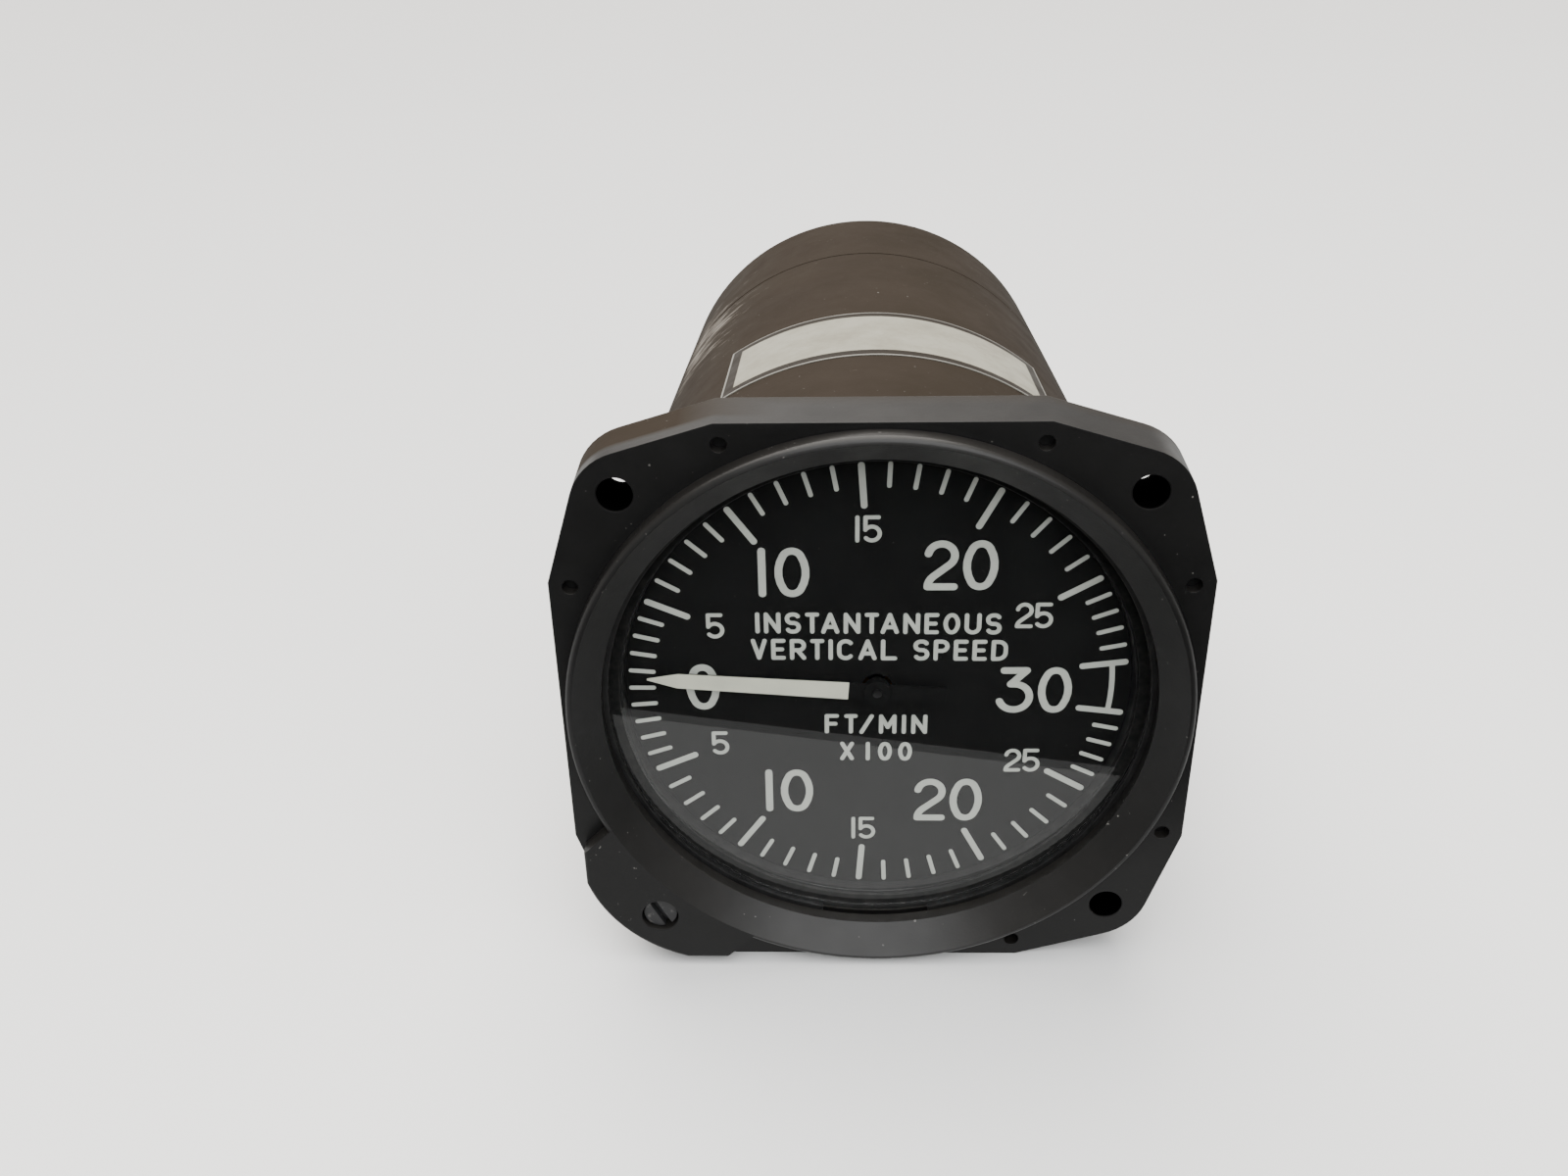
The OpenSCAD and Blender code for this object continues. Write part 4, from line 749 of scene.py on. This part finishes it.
class Pen:
    """Draws round-ended strokes of one width just in front of the dial."""

    def __init__(self, width):
        self.sheet = bmesh.new()
        self.bm = bmesh.new()
        self.half = width / 2

    def point(self, x, z):
        """The place on the dial's face at x across and z up."""
        return Vector((x, DIAL_FRONT, z))

    def dot(self, at):
        """A round end or joint."""
        face_on = Matrix.Translation(at) @ Matrix.Rotation(math.radians(90), 4, "X")
        bmesh.ops.create_circle(self.bm, cap_ends=True, segments=20, radius=self.half, matrix=face_on)

    def nib(self, at, across):
        """An edge as wide as the stroke, to be drawn along."""
        side = across.normalized() * self.half
        ends = [self.bm.verts.new(at - side), self.bm.verts.new(at + side)]
        return self.bm.edges.new(ends)

    def line(self, start, end):
        """A straight part of a stroke."""
        way = end - start
        edge = self.nib(start, Vector((-way.z, 0, way.x)))
        made = bmesh.ops.extrude_edge_only(self.bm, edges=[edge])
        moved = [v for v in made["geom"] if isinstance(v, bmesh.types.BMVert)]
        bmesh.ops.translate(self.bm, verts=moved, vec=way)

    def arc(self, start, middle, degrees):
        """A round part of a stroke, and where it ends."""
        edge = self.nib(start, start - middle)
        angle = math.radians(degrees)
        bmesh.ops.spin(self.bm, geom=[*edge.verts, edge], cent=middle, axis=(0, -1, 0), dvec=(0, 0, 0),
                       angle=angle, steps=max(2, round(abs(degrees) / 12)), use_merge=False,
                       use_normal_flip=False, use_duplicate=False)
        return middle + Matrix.Rotation(angle, 3, (0, -1, 0)) @ (start - middle)

    def stroke(self, path, x, z):
        """Draw one path of straight and round parts, with a round end or joint at each of its corners."""
        here = self.point(x + path[0][0], z + path[0][1])
        self.dot(here)
        for kind, a, b, *turn in path[1:]:
            spot = self.point(x + a, z + b)
            if kind == "to":
                self.line(here, spot)
                here = spot
            else:
                here = self.arc(here, spot, turn[0])
            self.dot(here)

    def glyph(self, letter, x, z, width, height):
        """Draw one glyph whose outline fills a box with its lower left corner at x, z."""
        inner = 2 * self.half
        for path in GLYPHS[letter][1](width - inner, height - inner):
            self.stroke(path, x + self.half, z + self.half)
        self.merge()

    def merge(self):
        """Lay the glyph's overlapping strokes on the sheet as one flat outline."""
        self.bm.normal_update()
        loops = []
        for face in self.bm.faces:
            ring = [Vector((v.co.x, v.co.z)) / MM for v in face.verts]
            loops.append(ring if face.normal.y < 0 else ring[::-1])
        self.bm.clear()
        corners = [corner for ring in loops for corner in ring]
        counter = iter(range(len(corners)))
        faces = [[next(counter) for corner in ring] for ring in loops]
        spots, _, pieces, *_ = delaunay_2d_cdt(corners, [], faces, 1, 1e-4)
        points = [self.sheet.verts.new(self.point(*(spot * MM))) for spot in spots]
        for piece in pieces:
            middle = sum((spots[i] for i in piece), Vector((0, 0))) / len(piece)
            if any(holds(ring, middle) for ring in loops):
                self.sheet.faces.new([points[i] for i in piece])

    def finish(self, height):
        """Give the strokes their thickness towards the viewer."""
        bm = self.sheet
        bmesh.ops.remove_doubles(bm, verts=bm.verts, dist=WELD)
        bmesh.ops.delete(bm, geom=[v for v in bm.verts if not v.link_faces], context="VERTS")
        bmesh.ops.dissolve_limit(bm, angle_limit=FLAT, verts=bm.verts, edges=bm.edges)
        made = bmesh.ops.extrude_face_region(bm, geom=bm.faces[:])
        moved = [v for v in made["geom"] if isinstance(v, bmesh.types.BMVert)]
        bmesh.ops.translate(bm, verts=moved, vec=(0, -height, 0))
        bmesh.ops.recalc_face_normals(bm, faces=bm.faces)
        return bm


def glyph_width(letter, pen, height):
    """A glyph is at least as wide as its stroke."""
    return max(pen, GLYPHS[letter][0] * height)


def number(pen, text, x, z, height, gap, gap_after_one):
    """Draw a number round its middle."""
    width = 2 * pen.half
    steps = [glyph_width(c, width, height) + (gap_after_one if c == "1" else gap) for c in text]
    left = x - (sum(steps) - gap) / 2
    for letter, step in zip(text, steps):
        pen.glyph(letter, left, z - height / 2, glyph_width(letter, width, height), height)
        left += step


def words(pen, text, left, right, foot, height):
    """Draw a line of words spaced to run from left to right."""
    widths = [glyph_width(c, 2 * pen.half, height) for c in text]
    moves = [PAIRS.get(a + b, 0) * MM for a, b in zip(text, text[1:] + " ")]
    gap = (right - left - sum(widths) - sum(moves)) / (len(text) - 1)
    for letter, wide, move in zip(text, widths, moves):
        pen.glyph(letter, left, foot - LEGEND_FALL * left, wide, height)
        left += wide + gap + move


# Operators, one for each group of pieces
class INSTRUMENT_OT_finishes(bpy.types.Operator):
    """Make the paints, metals, rubber and glass"""

    bl_idname = "instrument.finishes"
    bl_label = "Make Finishes"

    def execute(self, context):
        make_finishes(context.scene.instrument_finish)
        return {"FINISHED"}


class INSTRUMENT_OT_case(bpy.types.Operator):
    """Dress the case, its rear cover and the blank plate"""

    bl_idname = "instrument.case"
    bl_label = "Dress Case"

    def execute(self, context):
        settings = context.scene.instrument_finish
        bm = cad_copy("case")

        def at(p, depth):
            return abs(p.y - depth) < 0.02 * MM

        def outline(p):
            return max(abs(p.x), abs(p.z)) > 34 * MM and math.hypot(p.x, p.z) > RING_RADIUS + 0.5 * MM

        def clear_of_holes(p):
            return math.hypot(abs(p.x) - HOLE_OFFSET, abs(p.z) - HOLE_OFFSET) > 3 * MM

        def pad_rim(p):
            off_screw = math.hypot(p.x - ZERO_SCREW.x, p.z - ZERO_SCREW.z) > 3 * MM
            return off_screw and math.hypot(p.x, p.z) > RING_RADIUS - 0.8 * MM

        def other_rim(p):
            return (at(p, 0) or at(p, PAD_FRONT)) and math.hypot(p.x, p.z) > RING_RADIUS + 0.2 * MM

        # The narrowest rounding comes last and takes the rims that the wider ones leave
        for width, segments, test in (
                (settings.flange_edge, 4, lambda p: at(p, 0) and outline(p) and clear_of_holes(p)),
                (0.5 * MM, 3, lambda p: at(p, FLANGE_BACK) and outline(p)),
                (settings.pad_edge, 4, lambda p: at(p, PAD_FRONT) and pad_rim(p)),
                (0.25 * MM, 2, other_rim)):
            break_edges(bm, width, lambda edge: all(test(v.co) for v in edge.verts), segments)
        smooth_below(bm, 32)
        add_piece("case_shell", bm, "case_paint", "case_body", stands_for=("case",))
        dress("rear_cover", "case_paint", 0.15 * MM, name="rear_cover_shell")
        dress("zero_lid", "case_paint", 0.2 * MM, name="adjuster_lid")
        dress("nameplate", "label", 0.04 * MM, name="blank_foil_plate")
        dress("cover_screws", "steel", 0.08 * MM, FINISHES["oxide"])
        dress("zero_lid_screws", "steel", 0.08 * MM, FINISHES["oxide"])
        dress("cover_seal", "rubber", 0)
        return {"FINISHED"}


class INSTRUMENT_OT_window(bpy.types.Operator):
    """Dress the glass and the rings round it"""

    bl_idname = "instrument.window"
    bl_label = "Dress Window"

    def execute(self, context):
        edge = context.scene.instrument_finish.edge
        dress("glass", "glass", 0.15 * MM, name="window_pane")
        dress("snap_ring", "dark_trim", edge)
        dress("glare_ring", "dark_trim", edge)
        dress("glass_gasket", "rubber", edge / 2)
        return {"FINISHED"}


class INSTRUMENT_OT_dial(bpy.types.Operator):
    """Dress the dial and draw its numerals and legend"""

    bl_idname = "instrument.dial"
    bl_label = "Draw Dial"

    def execute(self, context):
        sizes = context.scene.instrument_lettering
        dress("dial", "dial_black", 0.08 * MM, name="dial_disc")
        dress("dial_marks", "mark_white", 0.03 * MM, name="scale_marks")
        for name, spots, height, width, gaps in (
                ("large_numerals", BIG_NUMERALS, sizes.big_height, sizes.big_pen, BIG_GAPS),
                ("small_numerals", SMALL_NUMERALS, sizes.small_height, sizes.small_pen, SMALL_GAPS)):
            pen = Pen(width)
            for text, x, z in spots:
                number(pen, text, x * MM, z * MM, height, *gaps)
            add_piece(name, pen.finish(sizes.paint_height), "mark_white", "case_body", even=False)
        pen = Pen(sizes.legend_pen)
        for text, left, right, foot, height in LEGEND:
            words(pen, text, left * MM, right * MM, foot * MM, height * MM)
        add_piece("dial_legend", pen.finish(sizes.paint_height), "mark_white", "case_body", even=False)
        return {"FINISHED"}


class INSTRUMENT_OT_pointer(bpy.types.Operator):
    """Dress the pointer, its staff and the hairspring"""

    bl_idname = "instrument.pointer"
    bl_label = "Dress Pointer"

    def execute(self, context):
        edge = context.scene.instrument_finish.edge
        dress("pointer", "pointer_cream", 0.03 * MM, name="pointer_coat")
        dress("pointer_arm", "dark_trim", 0.05 * MM, FINISHES["dial_black"], name="pointer_blade")
        dress("staff", "steel", edge / 2, FINISHES["dark_trim"])
        dress("staff_pinion", "brass", 0.02 * MM)
        dress("hairspring", "bronze", 0)
        return {"FINISHED"}


class INSTRUMENT_OT_adjuster(bpy.types.Operator):
    """Dress the zero screw, its pinion and the toothed arm"""

    bl_idname = "instrument.adjuster"
    bl_label = "Dress Adjuster"

    def execute(self, context):
        edge = context.scene.instrument_finish.edge
        dress("zero_screw", "dark_trim", 0.18 * MM, FINISHES["oxide"], name="adjusting_screw")
        dress("zero_seal", "rubber", 0)
        dress("zero_pinion", "brass", 0.05 * MM)
        dress("zero_arm", "brass", 0.05 * MM)
        dress("zero_arm_screws", "steel", edge / 2)
        return {"FINISHED"}


class INSTRUMENT_OT_movement(bpy.types.Operator):
    """Dress the plates, pillars, bridge and gears"""

    bl_idname = "instrument.movement"
    bl_label = "Dress Movement"

    def execute(self, context):
        edge = context.scene.instrument_finish.edge
        for node in ("front_plate", "rear_plate", "pillar_left", "pillar_right", "pillar_low",
                     "bridge", "bridge_posts"):
            dress(node, "brass", edge)
        for node in ("hairspring_stud", "balance_weight"):
            dress(node, "brass", edge / 2)
        dress("sector_gear", "brass", 0.02 * MM)
        # Painted shade: the bronze staff bush takes the black trim, as it is seen only down the dial's hole
        dress("staff_bush", "bronze", edge / 2, FINISHES["dark_trim"])
        for node in ("plate_ring", "pillar_screws", "bridge_screws", "rocking_shaft", "calibration_arm",
                     "link"):
            dress(node, "steel", edge / 2)
        return {"FINISHED"}


class INSTRUMENT_OT_capsule(bpy.types.Operator):
    """Dress the pressure capsule, its post and its tube"""

    bl_idname = "instrument.capsule"
    bl_label = "Dress Capsule"

    def execute(self, context):
        edge = context.scene.instrument_finish.edge
        dress("capsule_top", "bronze", 0.05 * MM, degrees=50, bend=upwards("capsule_top", "capsule_link"))
        dress("capsule_bottom", "bronze", 0.05 * MM, degrees=50)
        dress("capsule_tube", "bronze", 0)
        for node in ("capsule_block", "capsule_post"):
            dress(node, "brass", edge)
        return {"FINISHED"}


class INSTRUMENT_OT_rear(bpy.types.Operator):
    """Dress the static port, manifold and acceleration pumps"""

    bl_idname = "instrument.rear"
    bl_label = "Dress Rear"

    def execute(self, context):
        edge = context.scene.instrument_finish.edge
        dress("static_port", "brass", 0.3 * MM, name="port_fitting")
        dress("port_seal", "rubber", 0.1 * MM)
        dress("tube_seal", "rubber", 0)
        dress("manifold", "brass", 0.2 * MM)
        dress("restrictor", "steel", edge)
        for side in ("left", "right"):
            dress("pump_" + side, "aluminium", 0.2 * MM)
            dress("pump_piston_" + side, "brass", edge)
            spring = "pump_spring_" + side
            dress(spring, "steel", 0, degrees=70, bend=upwards(spring, "piston_" + side))
        dress("pump_lids", "aluminium", edge)
        dress("pump_lines", "bronze", 0)
        return {"FINISHED"}


class INSTRUMENT_OT_studio(bpy.types.Operator):
    """Lay the floor, hang the lamps and set the camera"""

    bl_idname = "instrument.studio"
    bl_label = "Set Studio"

    def execute(self, context):
        settings = context.scene.instrument_studio
        floor = self.sheet("studio_floor", studio_floor(settings), FLOOR_SIZE, FLOOR_SIZE,
                           (0, 1.0, settings.floor_level), 0)

        # What lies in front of the instrument is seen only in its glass, as in the photograph: glowing
        # cards make a painted reflection, lit grey up to a line in front of the instrument and dark beyond
        # it
        near = Vector((*CARD_EDGE, settings.floor_level))
        away = Vector((math.sin(CARD_SLANT), -math.cos(CARD_SLANT), 0))
        for name, grey, start, depth, lift in CARDS:
            middle = near + away * (start + depth / 2) + Vector((0, 0, lift))
            card = self.sheet(name, glowing_card(name, grey), CARD_WIDTH, depth, middle, CARD_SLANT)
            card.visible_camera = False
            card.visible_diffuse = False
            card.visible_shadow = False

        sky = self.lamp("sky_above", "SUN", SKY_PLACE, settings.top_light, (1.0, 0.965, 0.92))
        sky.angle = SKY_SPREAD
        front = self.lamp("lamp_front", "AREA", LAMP_PLACE, settings.front_light, (0.97, 0.985, 1.0))
        front.size = LAMP_SIZE
        self.room(settings.room_light)
        self.camera(context)
        return {"FINISHED"}

    def sheet(self, name, finish, width, depth, middle, turn):
        """Lay a flat sheet, turned about its middle."""
        bm = bmesh.new()
        bmesh.ops.create_grid(bm, x_segments=1, y_segments=1, size=0.5)
        bmesh.ops.scale(bm, vec=(width, depth, 1), verts=bm.verts)
        bmesh.ops.rotate(bm, cent=(0, 0, 0), matrix=Matrix.Rotation(turn, 3, "Z"), verts=bm.verts)
        bmesh.ops.translate(bm, vec=middle, verts=bm.verts)
        mesh = bpy.data.meshes.new(name)
        bm.to_mesh(mesh)
        bm.free()
        mesh.materials.append(finish)
        made = bpy.data.objects.new(name, mesh)
        bpy.context.scene.collection.objects.link(made)
        return made

    def lamp(self, name, kind, place, strength, colour):
        """Hang a lamp that points at the instrument."""
        light = bpy.data.lights.new(name, kind)
        light.energy = strength
        light.color = colour
        lamp = bpy.data.objects.new(name, light)
        lamp.location = place
        lamp.rotation_euler = (-Vector(place)).to_track_quat("-Z", "Y").to_euler()
        bpy.context.scene.collection.objects.link(lamp)
        return light

    def room(self, strength):
        """An even pale light from all round, with a brighter wall where the camera sees it."""
        world = bpy.data.worlds.new("pale_room")
        bpy.context.scene.world = world
        world.use_nodes = True
        tree = world.node_tree
        back = tree.nodes["Background"]
        back.inputs["Color"].default_value = (1.0, 0.99, 0.98, 1)
        back.inputs["Strength"].default_value = strength
        wall = add(tree, "Background", {"Color": (1.0, 0.995, 0.985, 1), "Strength": 1.3})
        seen = add(tree, "LightPath").outputs["Is Camera Ray"]
        both = add(tree, "MixShader",
                   {0: seen, 1: back.outputs["Background"], 2: wall.outputs["Background"]})
        tree.links.new(both.outputs["Shader"], tree.nodes["World Output"].inputs["Surface"])

    def camera(self, context):
        """The viewpoint found from the photograph: turned, tipped down and leaning slightly."""
        data = bpy.data.cameras.new("photo_camera")
        data.sensor_width = 36
        data.lens = CAMERA_LENS
        data.clip_start = 0.01
        camera = bpy.data.objects.new("photo_camera", data)
        turned = Matrix.Rotation(CAMERA_TURN, 4, "Z")
        tipped = Matrix.Rotation(CAMERA_TIP, 4, "X")
        leaning = Matrix.Rotation(CAMERA_LEAN, 4, "Z")
        camera.matrix_world = Matrix.Translation(CAMERA_PLACE) @ turned @ tipped @ leaning
        context.scene.collection.objects.link(camera)
        context.scene.camera = camera


OPERATORS = (
    INSTRUMENT_OT_finishes,
    INSTRUMENT_OT_case,
    INSTRUMENT_OT_window,
    INSTRUMENT_OT_dial,
    INSTRUMENT_OT_pointer,
    INSTRUMENT_OT_adjuster,
    INSTRUMENT_OT_movement,
    INSTRUMENT_OT_capsule,
    INSTRUMENT_OT_rear,
    INSTRUMENT_OT_studio,
)
GROUPS = (
    ("instrument_finish", FinishSettings),
    ("instrument_lettering", LetteringSettings),
    ("instrument_studio", StudioSettings),
)


class VIEW3D_PT_instrument(bpy.types.Panel):
    """Sizes and colours of the instrument, with a button for each group of pieces"""

    bl_label = "Vertical Speed Indicator"
    bl_space_type = "VIEW_3D"
    bl_region_type = "UI"
    bl_category = "Instrument"

    def draw(self, context):
        for group, kind in GROUPS:
            box = self.layout.box()
            for name in kind.__annotations__:
                box.prop(getattr(context.scene, group), name)
        for operator in OPERATORS:
            self.layout.operator(operator.bl_idname)


def register():
    for group, kind in GROUPS:
        bpy.utils.register_class(kind)
        setattr(bpy.types.Scene, group, bpy.props.PointerProperty(type=kind))
    for kind in (*OPERATORS, VIEW3D_PT_instrument):
        bpy.utils.register_class(kind)


def unregister():
    for kind in (VIEW3D_PT_instrument, *reversed(OPERATORS)):
        bpy.utils.unregister_class(kind)
    for group, kind in reversed(GROUPS):
        delattr(bpy.types.Scene, group)
        bpy.utils.unregister_class(kind)


def main():
    register()
    bpy.ops.instrument.finishes()
    bpy.ops.instrument.case()
    bpy.ops.instrument.window()
    bpy.ops.instrument.dial()
    bpy.ops.instrument.pointer()
    bpy.ops.instrument.adjuster()
    bpy.ops.instrument.movement()
    bpy.ops.instrument.capsule()
    bpy.ops.instrument.rear()
    bpy.ops.instrument.studio()


if __name__ == "__main__":
    main()
